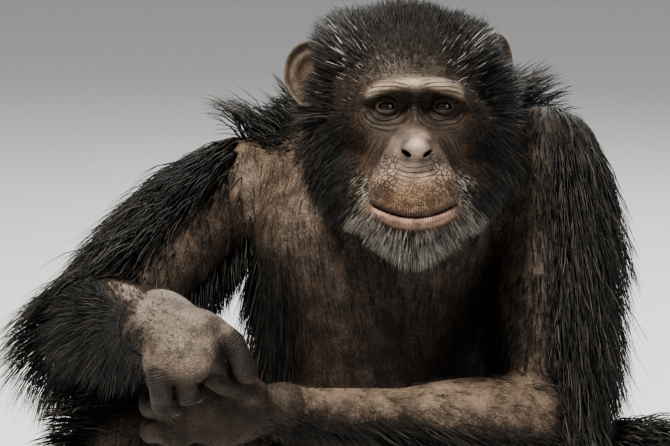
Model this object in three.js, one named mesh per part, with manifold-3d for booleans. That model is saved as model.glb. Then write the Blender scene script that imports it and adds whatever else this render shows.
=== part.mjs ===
// A life-size adult male chimpanzee, sitting with the trunk bent forward, forearms over the knees and hands joined.
// Millimetres, +Z up, the animal faces -Y and its right side is at -X. The origin is the middle of the seat.
// The body is one smooth field of distances, from named joints and muscle sizes. Each node is a stretch of that
// field, sampled by rays from its own axis and parted from its neighbours by thin plane cuts.
import * as THREE from "three";
import { mergeVertices } from "three/addons/utils/BufferGeometryUtils.js";
import Module from "manifold-3d";

const wasm = await Module();
wasm.setup();

// Driving dimensions
const GAP = 0.4; // clear space between two nodes that touch
const GROWN = 0.45; // how much larger a part is where it is cut out of another
const SIDES = { right: -1, left: 1 }; // sign of X
const JOINTS = {
  right: {
    shoulder: [-159, 5, 485],
    elbow: [-289, -180, 372],
    wrist: [-228, -425, 423],
    hip: [-88, -5, 108],
    knee: [-256, -205, 252],
    ankle: [-165, -328, 74],
  },
  left: {
    shoulder: [178, -95, 537],
    elbow: [170, -205, 272],
    wrist: [-100, -330, 320],
    hip: [88, -5, 108],
    knee: [266, -200, 206],
    ankle: [178, -340, 72],
  },
};
const EYE_MIDDLE = [32, -265, 614]; // between the pupils
const HEAD_TILT = 10; // degrees that the face looks up from level
const EYE_SPACING = 57;
const EYE_RADIUS = 12;
const FUR = { body: 3.5, head: 1.5, hand: 0.8, foot: 1 }; // depth of the short fur over the skin
const CORE_SHARE = 0.36; // how far the core of the long coat reaches towards the tips

// Vector helpers on plain arrays
const add = (a, b, s = 1) => [a[0] + b[0] * s, a[1] + b[1] * s, a[2] + b[2] * s];
const sub = (a, b) => [a[0] - b[0], a[1] - b[1], a[2] - b[2]];
const scale = (a, s) => [a[0] * s, a[1] * s, a[2] * s];
const dot = (a, b) => a[0] * b[0] + a[1] * b[1] + a[2] * b[2];
const cross = (a, b) => [a[1] * b[2] - a[2] * b[1], a[2] * b[0] - a[0] * b[2], a[0] * b[1] - a[1] * b[0]];
const length = (a) => Math.hypot(a[0], a[1], a[2]);
const unit = (a) => scale(a, 1 / (length(a) || 1));
const mix = (a, b, t) => add(scale(a, 1 - t), b, t);
const clamp = (x, low = 0, high = 1) => Math.min(high, Math.max(low, x));
const distance = (a, b) => length(sub(a, b));

// The head's own frame: u to the image right, v up the face, w out of the face
const tilt = THREE.MathUtils.degToRad(HEAD_TILT);
const HEAD_UP = [0, Math.sin(tilt), Math.cos(tilt)];
const HEAD_OUT = [0, -Math.cos(tilt), Math.sin(tilt)];
const onHead = (u, v, w) => add(add(add(EYE_MIDDLE, [1, 0, 0], u), HEAD_UP, v), HEAD_OUT, w);

// Fields of distance: negative inside, zero on the surface
function capsule(a, b, ra, rb) {
  const ab = sub(b, a);
  const ll = dot(ab, ab);
  return (p) => {
    const t = clamp(dot(sub(p, a), ab) / ll);
    return distance(p, add(a, ab, t)) - (ra + (rb - ra) * t);
  };
}
// An ellipsoid on three axes of its own, the world's if none are given
function ellipsoid(c, r, axes = [[1, 0, 0], [0, 1, 0], [0, 0, 1]]) {
  return (p) => {
    const q = sub(p, c);
    const k = axes.map((axis, i) => dot(q, axis) / r[i]);
    const k0 = length(k);
    const k1 = length(k.map((x, i) => x / r[i]));
    return k1 < 1e-9 ? -Math.min(...r) : (k0 * (k0 - 1)) / k1;
  };
}
function axesAlong(direction, side = [1, 0, 0]) {
  const a = unit(direction);
  const c = unit(cross(a, side));
  return [a, unit(cross(c, a)), c];
}
// A muscle: a spindle between two points, bulging by a share of its length
const muscle = (a, b, along, across, thick = across) =>
  ellipsoid(mix(a, b, 0.5), [along, across, thick], axesAlong(sub(b, a)));
const smooth = (a, b, k) => {
  const h = Math.max(k - Math.abs(a - b), 0) / k;
  return Math.min(a, b) - (h * h * k) / 4;
};
const merged = (fields, k) => (p) => fields.reduce((d, f) => smooth(d, f(p), k), 1e3);

// Trunk and neck. The flanks and rump alone make the trunk, and the girdle carries it to the shoulders
const R = JOINTS.right;
const L = JOINTS.left;
const girdle = (inset, radius) => {
  const across = unit(sub(L.shoulder, R.shoulder));
  return capsule(add(R.shoulder, across, inset), add(L.shoulder, across, -inset), radius, radius);
};
const trunkForms = [
  ellipsoid([0, 4, 112], [132, 106, 124]),
  capsule([-62, 20, 78], [62, 20, 78], 84, 84),
  ellipsoid([0, -28, 248], [134, 118, 122]),
  ellipsoid([2, -54, 390], [124, 112, 160]),
  ellipsoid([6, -30, 478], [112, 88, 92]),
  capsule([-76, -76, 446], [82, -104, 462], 54, 54),
];
const trunkField = merged([...trunkForms, girdle(36, 49)], 40);
const trunkAlone = merged([...trunkForms, girdle(70, 46)], 40);
const neckField = merged(
  [
    capsule([12, -62, 535], [32, -150, 600], 78, 70),
    capsule([-84, -22, 520], [18, -110, 596], 42, 44),
    capsule([96, -84, 543], [38, -118, 600], 42, 44),
  ],
  30,
);

// A limb is smooth within itself
function armField(side) {
  const { shoulder, elbow, wrist } = JOINTS[side];
  const s = SIDES[side];
  const down = unit(sub(elbow, shoulder));
  const forward = unit(cross(cross(down, [0, -1, 0]), down));
  return merged(
    [
      muscle(add(shoulder, down, -18), add(shoulder, down, 92), 78, 52, 50),
      capsule(shoulder, elbow, 45, 38),
      muscle(add(mix(shoulder, elbow, 0.3), forward, 12), add(mix(shoulder, elbow, 0.82), forward, 12), 92, 41, 40),
      muscle(add(mix(shoulder, elbow, 0.2), forward, -14), add(mix(shoulder, elbow, 0.8), forward, -14), 96, 42, 38),
      ellipsoid(add(elbow, [s * 2, 4, -2]), [40, 40, 40]),
      muscle(mix(elbow, wrist, -0.06), mix(elbow, wrist, 0.5), 92, 43, 42),
      capsule(elbow, wrist, 36, 20),
    ],
    26,
  );
}
function legField(side) {
  const { hip, knee, ankle } = JOINTS[side];
  const back = [0, 1, 0];
  return merged(
    [
      capsule(hip, knee, 80, 52),
      muscle(mix(hip, knee, 0.05), mix(hip, knee, 0.8), 150, 78, 76),
      ellipsoid(knee, [52, 52, 52]),
      muscle(add(mix(knee, ankle, 0.05), back, 14), add(mix(knee, ankle, 0.65), back, 12), 96, 46, 44),
      capsule(knee, ankle, 44, 29),
    ],
    26,
  );
}
// The foot's own line runs from the heel to the ball
const FEET = {
  right: { heel: [-176, -292, 33], ball: [-152, -428, 24], across: 43, turn: [0.985, 0.174, 0] },
  left: { heel: [188, -304, 33], ball: [170, -440, 24], across: 43, turn: [0.99, -0.13, 0] },
};
function footField(side) {
  const { ankle } = JOINTS[side];
  const { heel, ball, turn } = FEET[side];
  const along = unit(sub(ball, heel));
  return merged(
    [
      capsule(ankle, add(ankle, [0, -6, -30]), 30, 30),
      ellipsoid(add(heel, [0, 0, -1]), [33, 36, 36]),
      ellipsoid(add(mix(heel, ball, 0.55), [0, 0, -4]), [84, 37, 31], [along, turn, cross(along, turn)]),
      ellipsoid(add(ball, [0, 0, -3]), [34, 43, 25], [along, turn, cross(along, turn)]),
    ],
    18,
  );
}

// Hands: the palm's wrist and knuckle ends, its breadth line from the thumb's side, and each digit's joints
const HANDS = {
  right: {
    knuckles: [-186, -446, 412],
    breadth: unit([0.66, 0.36, 0.42]),
    half: 36,
    digits: {
      index: { radii: [13, 12.5, 12, 10], joints: [[-157, -434, 421], [-143, -434, 415], [-119, -420, 389], [-113, -399, 358]] },
      middle: { radii: [13.5, 13, 12.5, 10], joints: [[-177, -446, 412], [-166, -452, 406], [-142, -443, 378], [-133, -425, 344]] },
      ring: { radii: [13, 12.5, 12, 10], joints: [[-198, -454, 402], [-190, -463, 394], [-166, -455, 362], [-157, -434, 330]] },
      little: { radii: [12.5, 12, 11, 9], joints: [[-219, -456, 392], [-213, -468, 384], [-194, -465, 355], [-174, -446, 324]] },
      thumb: { radii: [12, 11, 10, 8.5], joints: [[-190, -408, 408], [-176, -396, 397], [-160, -386, 384], [-148, -380, 368]] },
    },
  },
  left: {
    knuckles: [-203, -378, 328],
    breadth: unit([0.16, 0.1, 0.98]),
    half: 37,
    digits: {
      index: { radii: [13.5, 12.5, 11.5, 9.5], joints: [[-206, -376, 356], [-222, -366, 357], [-222, -334, 352], [-196, -326, 346]] },
      middle: { radii: [13.5, 12.5, 11.5, 9.5], joints: [[-212, -380, 332], [-228, -368, 331], [-228, -332, 327], [-200, -324, 320]] },
      ring: { radii: [13, 12, 11, 9], joints: [[-212, -380, 308], [-228, -368, 305], [-227, -334, 301], [-200, -326, 294]] },
      little: { radii: [12, 11, 10, 8.5], joints: [[-206, -378, 288], [-220, -368, 282], [-218, -338, 277], [-194, -330, 270]] },
      thumb: { radii: [15, 13, 11.5, 9.5], joints: [[-128, -368, 344], [-146, -392, 357], [-156, -420, 366], [-166, -452, 378]] },
    },
  },
};
function palmField(side) {
  const { wrist } = JOINTS[side];
  const { knuckles, breadth, half } = HANDS[side];
  const along = unit(sub(knuckles, wrist));
  const thick = unit(cross(along, breadth));
  const middle = mix(wrist, knuckles, 0.62);
  const row = add(knuckles, along, -4);
  return merged(
    [
      capsule(wrist, mix(wrist, knuckles, 0.4), 24, 22),
      ellipsoid(middle, [54, half, 21], [along, breadth, thick]),
      capsule(add(row, breadth, half - 14), add(row, breadth, 14 - half), 16, 15),
    ],
    14,
  );
}

// Head
const headField = merged(
  [
    ellipsoid(onHead(-8, 26, -90), [82, 69, 86], [[1, 0, 0], HEAD_UP, HEAD_OUT]),
    ellipsoid(onHead(0, -34, -84), [68, 62, 66], [[1, 0, 0], HEAD_UP, HEAD_OUT]),
    ellipsoid(onHead(0, -22, -30), [58, 52, 36], [[1, 0, 0], HEAD_UP, HEAD_OUT]),
    ellipsoid(onHead(-1, -62, -6), [42, 40, 40], [[1, 0, 0], HEAD_UP, HEAD_OUT]),
    capsule(onHead(-38, -100, -8), onHead(-60, -48, -72), 24, 26),
    capsule(onHead(36, -100, -8), onHead(60, -48, -72), 24, 26),
  ],
  22,
);
const BROW = [[-48, 8, -14], [-38, 17, -3], [-22, 20, 5], [0, 17, 6], [22, 20, 5], [40, 17, -3], [52, 7, -15]];
const browField = merged(
  BROW.slice(1).map((b, i) => capsule(onHead(...BROW[i]), onHead(...b), 8.5, 8.5)),
  4,
);
const headAxes = [[1, 0, 0], HEAD_UP, HEAD_OUT];
const muzzleField = merged(
  [
    ellipsoid(onHead(-1, -86, 6), [48, 37, 44], headAxes),
    ellipsoid(onHead(-1, -112, 6), [38, 24, 38], headAxes),
    capsule(onHead(0, -10, -6), onHead(0, -42, 26), 9, 11),
    ellipsoid(onHead(0, -47, 18), [26, 20, 24], headAxes),
    ellipsoid(onHead(0, -44, 34), [13, 9, 9], headAxes),
  ],
  13,
);
const CHEEKS = merged(
  [capsule(onHead(-44, -16, -18), onHead(-58, -14, -48), 15, 18), capsule(onHead(44, -16, -18), onHead(58, -14, -48), 15, 18)],
  6,
);
const SOCKETS = [-1, 1].map((s) => ellipsoid(onHead((s * EYE_SPACING) / 2, -1, 8), [18, 10.5, 17], headAxes));
function faceField(p) {
  let d = smooth(headField(p), CHEEKS(p), 16);
  d = smooth(d, muzzleField(p), 16);
  d = smooth(d, browField(p), 9);
  for (const socket of SOCKETS) {
    const carve = -socket(p);
    const h = Math.max(8 - Math.abs(d - carve), 0) / 8;
    d = Math.max(d, carve) + (h * h * 8) / 4;
  }
  return d;
}

// Where two parts of the body flow into one another, only within reach of their joint
function joined(a, b, joint, reach, k) {
  return (p) => smooth(a(p), b(p) + 0.9 * Math.max(0, distance(p, joint) - reach), k);
}
const arms = { right: armField("right"), left: armField("left") };
const legs = { right: legField("right"), left: legField("left") };
const feet = { right: footField("right"), left: footField("left") };
const palms = { right: palmField("right"), left: palmField("left") };
const NECK_ROOT = [14, -72, 545];
const SKULL_ROOT = [30, -158, 590];
let bodyField = joined(trunkField, neckField, NECK_ROOT, 120, 30);
for (const side of Object.keys(SIDES)) {
  bodyField = joined(bodyField, arms[side], JOINTS[side].shoulder, 66, 34);
  bodyField = joined(bodyField, legs[side], JOINTS[side].hip, 88, 30);
}
const neckAndHead = joined(joined(neckField, trunkField, NECK_ROOT, 110, 30), faceField, SKULL_ROOT, 120, 24);
const headAndNeck = joined(faceField, neckField, SKULL_ROOT, 80, 24);

// Rays: the distance from a point inside along a direction to where the field reaches a level
function reach(field, from, direction, level, most) {
  let r = 0;
  for (let i = 0; i < 90; i++) {
    const d = field(add(from, direction, r)) - level;
    if (d > -0.05) break;
    r += Math.max(0.4, -d * 0.8);
    if (r > most) return most;
  }
  return r;
}
const slope = (field, p, e = 0.5) =>
  unit([0, 1, 2].map((i) => field(add(p, [e * (i === 0), e * (i === 1), e * (i === 2)])) - field(add(p, [-e * (i === 0), -e * (i === 1), -e * (i === 2)]))));

// Closed grids of rings, made into solids
function solidOfRings(rings, startTip, endTip) {
  const n = rings[0].length;
  const points = [startTip, ...rings.flat(), endTip];
  const faces = [];
  const at = (i, j) => 1 + i * n + (j % n);
  for (let j = 0; j < n; j++) {
    faces.push(0, at(0, j + 1), at(0, j));
    for (let i = 0; i + 1 < rings.length; i++) {
      faces.push(at(i, j), at(i, j + 1), at(i + 1, j + 1), at(i, j), at(i + 1, j + 1), at(i + 1, j));
    }
    faces.push(points.length - 1, at(rings.length - 1, j), at(rings.length - 1, j + 1));
  }
  const geometry = new THREE.BufferGeometry();
  geometry.setAttribute("position", new THREE.Float32BufferAttribute(points.flat(), 3));
  geometry.setIndex(faces);
  return solidOf(geometry);
}
function solidOf(geometry) {
  const g = geometry.clone();
  g.deleteAttribute("normal");
  g.deleteAttribute("uv");
  const clean = mergeVertices(g, 1e-3);
  const solid = new wasm.Manifold(
    new wasm.Mesh({ numProp: 3, vertProperties: new Float32Array(clean.attributes.position.array), triVerts: new Uint32Array(clean.index.array) }),
  );
  return solid.volume() < 0 ? solidOf(turned(clean)) : solid;
}
function turned(geometry) {
  const index = geometry.index.array;
  for (let i = 0; i < index.length; i += 3) [index[i + 1], index[i + 2]] = [index[i + 2], index[i + 1]];
  return geometry;
}

// A tube of rings about a line, each point where the field ends
function tube(field, a, b, { sides, rings, start = -0.1, end = 1.1, grow = 0, most = 140, up = [1, 0, 0] }) {
  const [along, across, over] = axesAlong(sub(b, a), up);
  const made = [];
  for (let i = 0; i <= rings; i++) {
    const centre = mix(a, b, start + ((end - start) * i) / rings);
    const ring = [];
    for (let j = 0; j < sides; j++) {
      const turn = (2 * Math.PI * (j + 0.5 * (i % 2))) / sides;
      const direction = add(scale(across, Math.cos(turn)), over, Math.sin(turn));
      ring.push(add(centre, direction, reach(field, centre, direction, grow, most)));
    }
    made.push(ring);
  }
  const cap = (at, way) => add(mix(a, b, at), along, way * reach(field, mix(a, b, at), scale(along, way), grow, 6));
  return solidOfRings(made, cap(start, -1), cap(end, 1));
}
// A closed shape seen whole from one point inside, with more rings where it needs them
function star(field, centre, { sides, rings, pole = [0, 0, 1], face = [0, -1, 0], grow = 0, most = 400, ease = (t) => t }) {
  const up = unit(pole);
  const right = unit(cross(face, up));
  const out = cross(up, right);
  const point = (polar, turn) => {
    const flat = add(scale(right, Math.sin(turn)), out, Math.cos(turn));
    const direction = add(scale(flat, Math.sin(polar)), up, Math.cos(polar));
    return add(centre, direction, reach(field, centre, direction, grow, most));
  };
  const made = [];
  for (let i = 1; i < rings; i++) {
    const ring = [];
    for (let j = 0; j < sides; j++) ring.push(point(Math.PI * ease(i / rings), (2 * Math.PI * (j + 0.5 * (i % 2))) / sides));
    made.push(ring);
  }
  return solidOfRings(made, point(0, 0), point(Math.PI, 0));
}

// Cuts: what lies past a plane, within a square round its point, is taken away, back by half the gap
const WIDE = 2000;
function pastPlane([point, normal, half = WIDE], back) {
  const block = new THREE.BoxGeometry(2 * half, 2 * half, WIDE);
  block.applyQuaternion(new THREE.Quaternion().setFromUnitVectors(new THREE.Vector3(0, 0, 1), new THREE.Vector3(...unit(normal))));
  block.translate(...add(point, unit(normal), WIDE / 2 - back));
  return solidOf(block);
}
const cut = (solid, plane, back) => solid.subtract(pastPlane(plane, back));
const opposite = ([point, normal, half]) => [point, scale(normal, -1), half];
const FLOOR = [[0, 0, 0], [0, 0, -1]];

// Planes that part the nodes: a point on each, the way out of the part nearer the trunk, and half its width
const planes = { waist: [[0, 0, 262], [0, -0.1, 1]], neck: [[14, -80, 548], [0.08, -0.6, 0.8], 105], skull: [[30, -150, 588], [0.05, -0.8, 0.6]] };
for (const [side, s] of Object.entries(SIDES)) {
  const { shoulder, elbow, wrist, hip, knee, ankle } = JOINTS[side];
  const bisector = (a, b, c) => unit(add(unit(sub(b, a)), unit(sub(c, b))));
  const outward = unit(sub(JOINTS[side].shoulder, mix(R.shoulder, L.shoulder, 0.5)));
  planes[side] = {
    shoulder: [add(shoulder, outward, -22), unit(add(outward, unit(sub(elbow, shoulder)), 0.45)), 92],
    elbow: [elbow, bisector(shoulder, elbow, wrist)],
    wrist: [mix(elbow, wrist, 0.95), unit(sub(wrist, elbow))],
    hip: [mix(hip, knee, 0.26), unit(add(unit(sub(knee, hip)), [s * 0.4, 0, 0])), 112],
    knee: [knee, bisector(hip, knee, ankle)],
    ankle: [add(ankle, [0, 2, 14]), [0.1 * -s, -0.35, -0.93]],
  };
}

// The long coat: how far its tips stand off the skin, from where a point lies on its own part
const ramp = (x, from, to) => {
  const t = clamp((x - from) / (to - from));
  return t * t * (3 - 2 * t);
};
// Both shoulders and the back are long-coated, and the chest and belly are almost bare
function trunkCoat(p) {
  const centre = [8, -40, p[2]];
  const out = unit(sub(p, centre));
  const back = ramp(out[1], -0.25, 0.45);
  const top = ramp(p[2], 440, 540) * ramp(out[1], -0.55, 0.1);
  return Math.max(back * (24 + 14 * ramp(p[2], 300, 500)), top * 40, 3);
}
const ARM_OUT = { right: unit([-0.62, 0.42, 0.66]), left: unit([0.86, 0.5, -0.1]) };
function upperArmCoat(side) {
  const { shoulder, elbow } = JOINTS[side];
  const along = unit(sub(elbow, shoulder));
  const out = unit(add(ARM_OUT[side], along, -dot(ARM_OUT[side], along)));
  return (p) => {
    const q = sub(p, shoulder);
    const t = dot(q, along) / distance(shoulder, elbow);
    const away = unit(add(q, along, -dot(q, along)));
    return 2 + (side === "left" ? 36 : 30) * ramp(dot(away, out), -0.35, 0.6) * ramp(t, -0.5, 0.25);
  };
}
const FOREARM_OUT = { right: unit([-0.75, 0.1, -0.55]), left: unit([0.1, 0.25, -0.95]) };
function forearmCoat(side) {
  const { elbow, wrist } = JOINTS[side];
  const along = unit(sub(wrist, elbow));
  const out = unit(add(FOREARM_OUT[side], along, -dot(FOREARM_OUT[side], along)));
  return (p) => {
    const q = sub(p, elbow);
    const t = dot(q, along) / distance(elbow, wrist);
    const away = unit(add(q, along, -dot(q, along)));
    return (side === "left" ? 24 : 27) * ramp(dot(away, out), -0.5, 0.7) * (1 - ramp(t, 0.35, 0.95));
  };
}
function legCoat(side) {
  const { hip, knee, ankle } = JOINTS[side];
  return (p) => {
    const down = ramp(distance(p, ankle), 40, 130);
    return 4 + 16 * down * ramp(p[2], 10, 60);
  };
}
const EARS = {
  right: { middle: [-105, 36, -86], outward: unit([-0.94, 0, -0.34]) },
  left: { middle: [84, 44, -92], outward: unit([0.66, 0, -0.75]) },
};
// Hair rises from the brow's sides and the crown, longest on the cheeks, and a short beard rims the chin
function headCoat(p) {
  const q = sub(p, EYE_MIDDLE);
  const [u, v, w] = [q[0], dot(q, HEAD_UP), dot(q, HEAD_OUT)];
  const face = Math.hypot((u + 3) / 62, (v + 32) / 90);
  const coated = Math.max(ramp(face, 1, 1.3), ramp(-w, 50, 80));
  const cheek = ramp(-v, -10, 70) * ramp(-w, -20, 50);
  const corner = ramp(Math.abs(u + 8), 20, 62) * ramp(v, 10, 50);
  const ear = Math.min(...Object.values(EARS).map(({ middle }) => distance([u, v, w], middle)));
  return coated * (30 + 10 * ramp(Math.abs(u + 5), 40, 80) + 30 * corner - 14 * cheek) * (1 - 0.75 * ramp(-w, 110, 150) * ramp(-v, -40, 40)) * (0.1 + 0.9 * ramp(ear, 22, 58));
}

const nodes = new Map(); // name to { core, grown, priority }
function part(name, priority, cuts, make) {
  const trimmed = (grow) => cuts.reduce((solid, plane) => cut(solid, plane, plane === FLOOR ? 0 : grow ? -0.1 : GAP / 2), make(grow));
  nodes.set(name, { core: trimmed(0), grown: trimmed(GROWN), priority });
}
// A field drawn only a little past its planes, and one with the coat's core over it
const stopped = (field, cuts, margin = 20) => (p) =>
  cuts.reduce((d, [point, normal, half = WIDE]) => {
    const q = sub(p, point);
    const over = dot(q, unit(normal)) - margin;
    return Math.max(d, Math.min(over, half - margin - length(add(q, unit(normal), -dot(q, unit(normal))))));
  }, field(p));
const coated = (field, depth, coat = () => 0) => (p) => field(p) - depth - CORE_SHARE * coat(p);

// Trunk: the whole body's field inside the planes, and past them only what belongs to the trunk with no limbs
function trunkPart(centre, edge, limbCuts, [sides, rings], grow) {
  const whole = star(stopped(coated(bodyField, FUR.body, trunkCoat), [...limbCuts, edge]), centre, { sides, rings, grow });
  const alone = star(stopped(coated(trunkAlone, FUR.body - 3, trunkCoat), [edge]), centre, { sides: sides - 2, rings: rings - 1, grow });
  const [back, under] = grow ? [-0.1, 3.6] : [GAP / 2, 3.2];
  return limbCuts.reduce((solid, plane) => cut(solid, plane, back).add(alone.intersect(pastPlane(plane, under))), whole);
}
const chestCuts = [planes.neck, planes.right.shoulder, planes.left.shoulder];
part("chest", 3, [opposite(planes.waist)], (grow) => trunkPart([4, -56, 420], opposite(planes.waist), chestCuts, [20, 12], grow));
const rumpCuts = [planes.right.hip, planes.left.hip];
part("belly_and_seat", 3.2, [planes.waist, FLOOR], (grow) => trunkPart([0, -6, 150], planes.waist, rumpCuts, [18, 11], grow));
part("neck", 7, [opposite([planes.neck[0], planes.neck[1]]), planes.skull], (grow) =>
  tube(coated(neckAndHead, FUR.body), planes.neck[0], planes.skull[0], { sides: 14, rings: 5, start: -1.2, end: 1.6, grow, most: 120 }),
);

// Limbs
for (const side of Object.keys(SIDES)) {
  const { shoulder, elbow, wrist, hip, knee, ankle } = JOINTS[side];
  const cuts = planes[side];
  part("upper_arm_" + side, 4, [opposite([cuts.shoulder[0], cuts.shoulder[1]]), cuts.elbow], (grow) =>
    tube(coated(joined(arms[side], trunkField, shoulder, 66, 34), FUR.body, upperArmCoat(side)), shoulder, elbow, {
      sides: 11, rings: 8, start: -0.16, end: 1.12, grow, most: 105,
    }),
  );
  part("forearm_" + side, 5, [opposite(cuts.elbow), cuts.wrist], (grow) =>
    tube(coated(joined(arms[side], palms[side], wrist, 30, 12), FUR.body, forearmCoat(side)), elbow, wrist, {
      sides: 11, rings: 7, start: -0.16, end: 1.06, grow, most: 90,
    }),
  );
  part("thigh_" + side, 6, [opposite([cuts.hip[0], cuts.hip[1]]), cuts.knee, FLOOR], (grow) =>
    tube(coated(joined(legs[side], trunkField, hip, 88, 30), FUR.body, legCoat(side)), hip, knee, {
      sides: 12, rings: 6, start: -0.1, end: 1.2, grow, most: 125,
    }),
  );
  part("shin_" + side, 6.5, [opposite(cuts.knee), cuts.ankle], (grow) =>
    tube(coated(joined(legs[side], feet[side], ankle, 40, 16), FUR.body, legCoat(side)), knee, ankle, {
      sides: 11, rings: 7, start: -0.2, end: 1.06, grow, most: 90,
    }),
  );
  const { knuckles } = HANDS[side];
  part("palm_" + side, 1, [opposite(cuts.wrist)], (grow) =>
    star(stopped(coated(joined(palms[side], arms[side], wrist, 30, 12), FUR.hand), [opposite(cuts.wrist)]), mix(wrist, knuckles, 0.5), {
      sides: 11, rings: 8, grow, pole: sub(knuckles, wrist), face: [0, 0, 1], most: 90,
    }),
  );
}

// A digit is a tube of rings about the curve through its joints, a little thicker at each knuckle
function digit(joints, radii, grow, { sides = 6, rings = 6 } = {}) {
  const curve = new THREE.CatmullRomCurve3(joints.map((p) => new THREE.Vector3(...p)), false, "centripetal");
  const made = [];
  let side = axesAlong(sub(joints[1], joints[0]), [0.2, 0.1, 1])[1];
  for (let i = 0; i <= rings; i++) {
    const t = i / rings;
    const at = curve.getPoint(t).toArray();
    const way = unit(curve.getTangent(t).toArray());
    side = unit(add(side, way, -dot(side, way)));
    const other = cross(way, side);
    const k = t * (radii.length - 1);
    const j = Math.min(Math.floor(k), radii.length - 2);
    const near = Math.abs(k - Math.round(k));
    const r = radii[j] + (radii[j + 1] - radii[j]) * (k - j) + 0.9 * (1 - 2 * near) * (t > 0.1 && t < 0.95) + grow;
    made.push(
      Array.from({ length: sides }, (_, n) => {
        const turn = (2 * Math.PI * (n + 0.5 * (i % 2))) / sides;
        return add(add(at, side, r * Math.cos(turn)), other, r * Math.sin(turn));
      }),
    );
  }
  const first = curve.getPoint(0).toArray();
  const last = curve.getPoint(1).toArray();
  const lastWay = unit(curve.getTangent(1).toArray());
  const r = radii.at(-1);
  made.push(made.at(-1).map((p) => add(mix(last, p, 0.66), lastWay, r * 0.62)));
  return solidOfRings(made, first, add(last, lastWay, r * 0.85 + grow));
}
for (const side of Object.keys(SIDES)) {
  for (const [name, { joints, radii }] of Object.entries(HANDS[side].digits)) {
    part((name === "thumb" ? name : name + "_finger") + "_" + side, 1.5, [], (grow) => digit(joints, radii, grow + FUR.hand));
  }
}

// Feet: toes spread from the ball, and the great toe stands off like a thumb
const TOES = { great: null, second: 0.66, third: 0.19, fourth: -0.28, fifth: -0.72 };
function toe(side, place, grow) {
  const { heel, ball, across, turn } = FEET[side];
  const along = unit(sub(ball, heel));
  const inward = scale(turn, -SIDES[side]);
  const great = place === null;
  const root = great ? add(mix(heel, ball, 0.62), inward, 22) : add(add(ball, inward, across * place), along, -6 - 10 * Math.abs(place));
  const way = great ? unit(add(scale(along, 0.8), inward, 0.66)) : unit(add(along, inward, 0.26 * place));
  const long = great ? 84 : 78 - 12 * Math.abs(place - 0.2);
  const radii = great ? [14, 13, 12.5, 10.5] : [10, 9, 8.5, 7.5];
  const joints = [0, 0.34, 0.68, 1].map((t, i) => {
    const p = add(root, way, long * t);
    return [p[0], p[1], radii[i] - 0.5 + [10, 6, 0, 0][i]];
  });
  return digit(joints, radii, grow + FUR.foot, { sides: 5, rings: 3 });
}
for (const side of Object.keys(SIDES)) {
  const { ankle } = JOINTS[side];
  const { heel, ball } = FEET[side];
  const top = opposite(planes[side].ankle);
  part("foot_" + side, 2, [top, FLOOR], (grow) => {
    const sole = star(stopped(coated(joined(feet[side], legs[side], ankle, 40, 16), FUR.foot), [top]), add(mix(heel, ball, 0.4), [0, 0, 8]), {
      sides: 10, rings: 7, grow, pole: sub(heel, ball), face: [0, 0, 1], most: 120,
    });
    return wasm.Manifold.union([sole, ...Object.values(TOES).map((place) => toe(side, place, grow))]);
  });
}

// Head: rings close together on the face, then the lids, mouth and nostrils worked into it
const skullCut = opposite(planes.skull);
const HEAD_CENTRE = onHead(-1, -34, -62);
const headFrame = new THREE.Matrix4().makeBasis(new THREE.Vector3(1, 0, 0), new THREE.Vector3(...HEAD_UP), new THREE.Vector3(...HEAD_OUT));
headFrame.setPosition(...EYE_MIDDLE);
const closerInFront = (t) => 0.44 * t + 0.56 * t ** 3;
const faceSurface = coated(headAndNeck, FUR.head);
function faceDepth(u, v) {
  let w = 100;
  for (let i = 0; i < 60; i++) {
    const d = faceSurface(onHead(u, v, w));
    if (d < 0.02) break;
    w -= Math.max(0.05, d * 0.6);
  }
  return w;
}
function ballOnHead([u, v, w], [ru, rv, rw], grow = 0, turn = 0, detail = [11, 7]) {
  const geometry = new THREE.SphereGeometry(1, ...detail);
  geometry.scale(ru + grow, rv + grow, rw + grow);
  geometry.rotateY(turn);
  geometry.translate(u, v, w);
  return solidOf(geometry.applyMatrix4(headFrame));
}
// A roll that follows a line of (u, v) across the face, at some depth under its surface
function rollOnFace(line, radii, sink, steps = 8, sides = 5) {
  const rings = [];
  for (let i = 0; i < steps; i++) {
    const t = i / (steps - 1);
    const [u, v] = line(t);
    const w = faceDepth(u, v) - sink;
    const [nextU, nextV] = line(Math.min(1, t + 0.02));
    const [lastU, lastV] = line(Math.max(0, t - 0.02));
    const way = unit([nextU - lastU, nextV - lastV, faceDepth(nextU, nextV) - faceDepth(lastU, lastV)]);
    const up = unit(cross(unit([u * 0.5, 0, 40]), way));
    const out = cross(way, up);
    const r = radii(t);
    rings.push(
      Array.from({ length: sides }, (_, j) => {
        const turn = (2 * Math.PI * j) / sides;
        return onHead(...add(add([u, v, w], up, r * Math.cos(turn)), out, r * Math.sin(turn)));
      }),
    );
  }
  const middle = (ring) => scale(ring.reduce((sum, p) => add(sum, p), [0, 0, 0]), 1 / ring.length);
  return solidOfRings(rings, middle(rings[0]), middle(rings.at(-1)));
}
const MOUTH = { right: -46, left: 42.5, middle: -111, rise: 15.3 }; // u of the corners, v of the middle
const mouthLine = (t) => {
  const u = MOUTH.right + (MOUTH.left - MOUTH.right) * t;
  return [u, MOUTH.middle + MOUTH.rise * (u / 45) ** 2];
};
const lower = (line, drop) => (t) => [line(t)[0] * 0.93, line(t)[1] - drop];
const EYES = { right: [-EYE_SPACING / 2, -0.5, -11], left: [EYE_SPACING / 2, -0.5, -11] };
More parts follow.
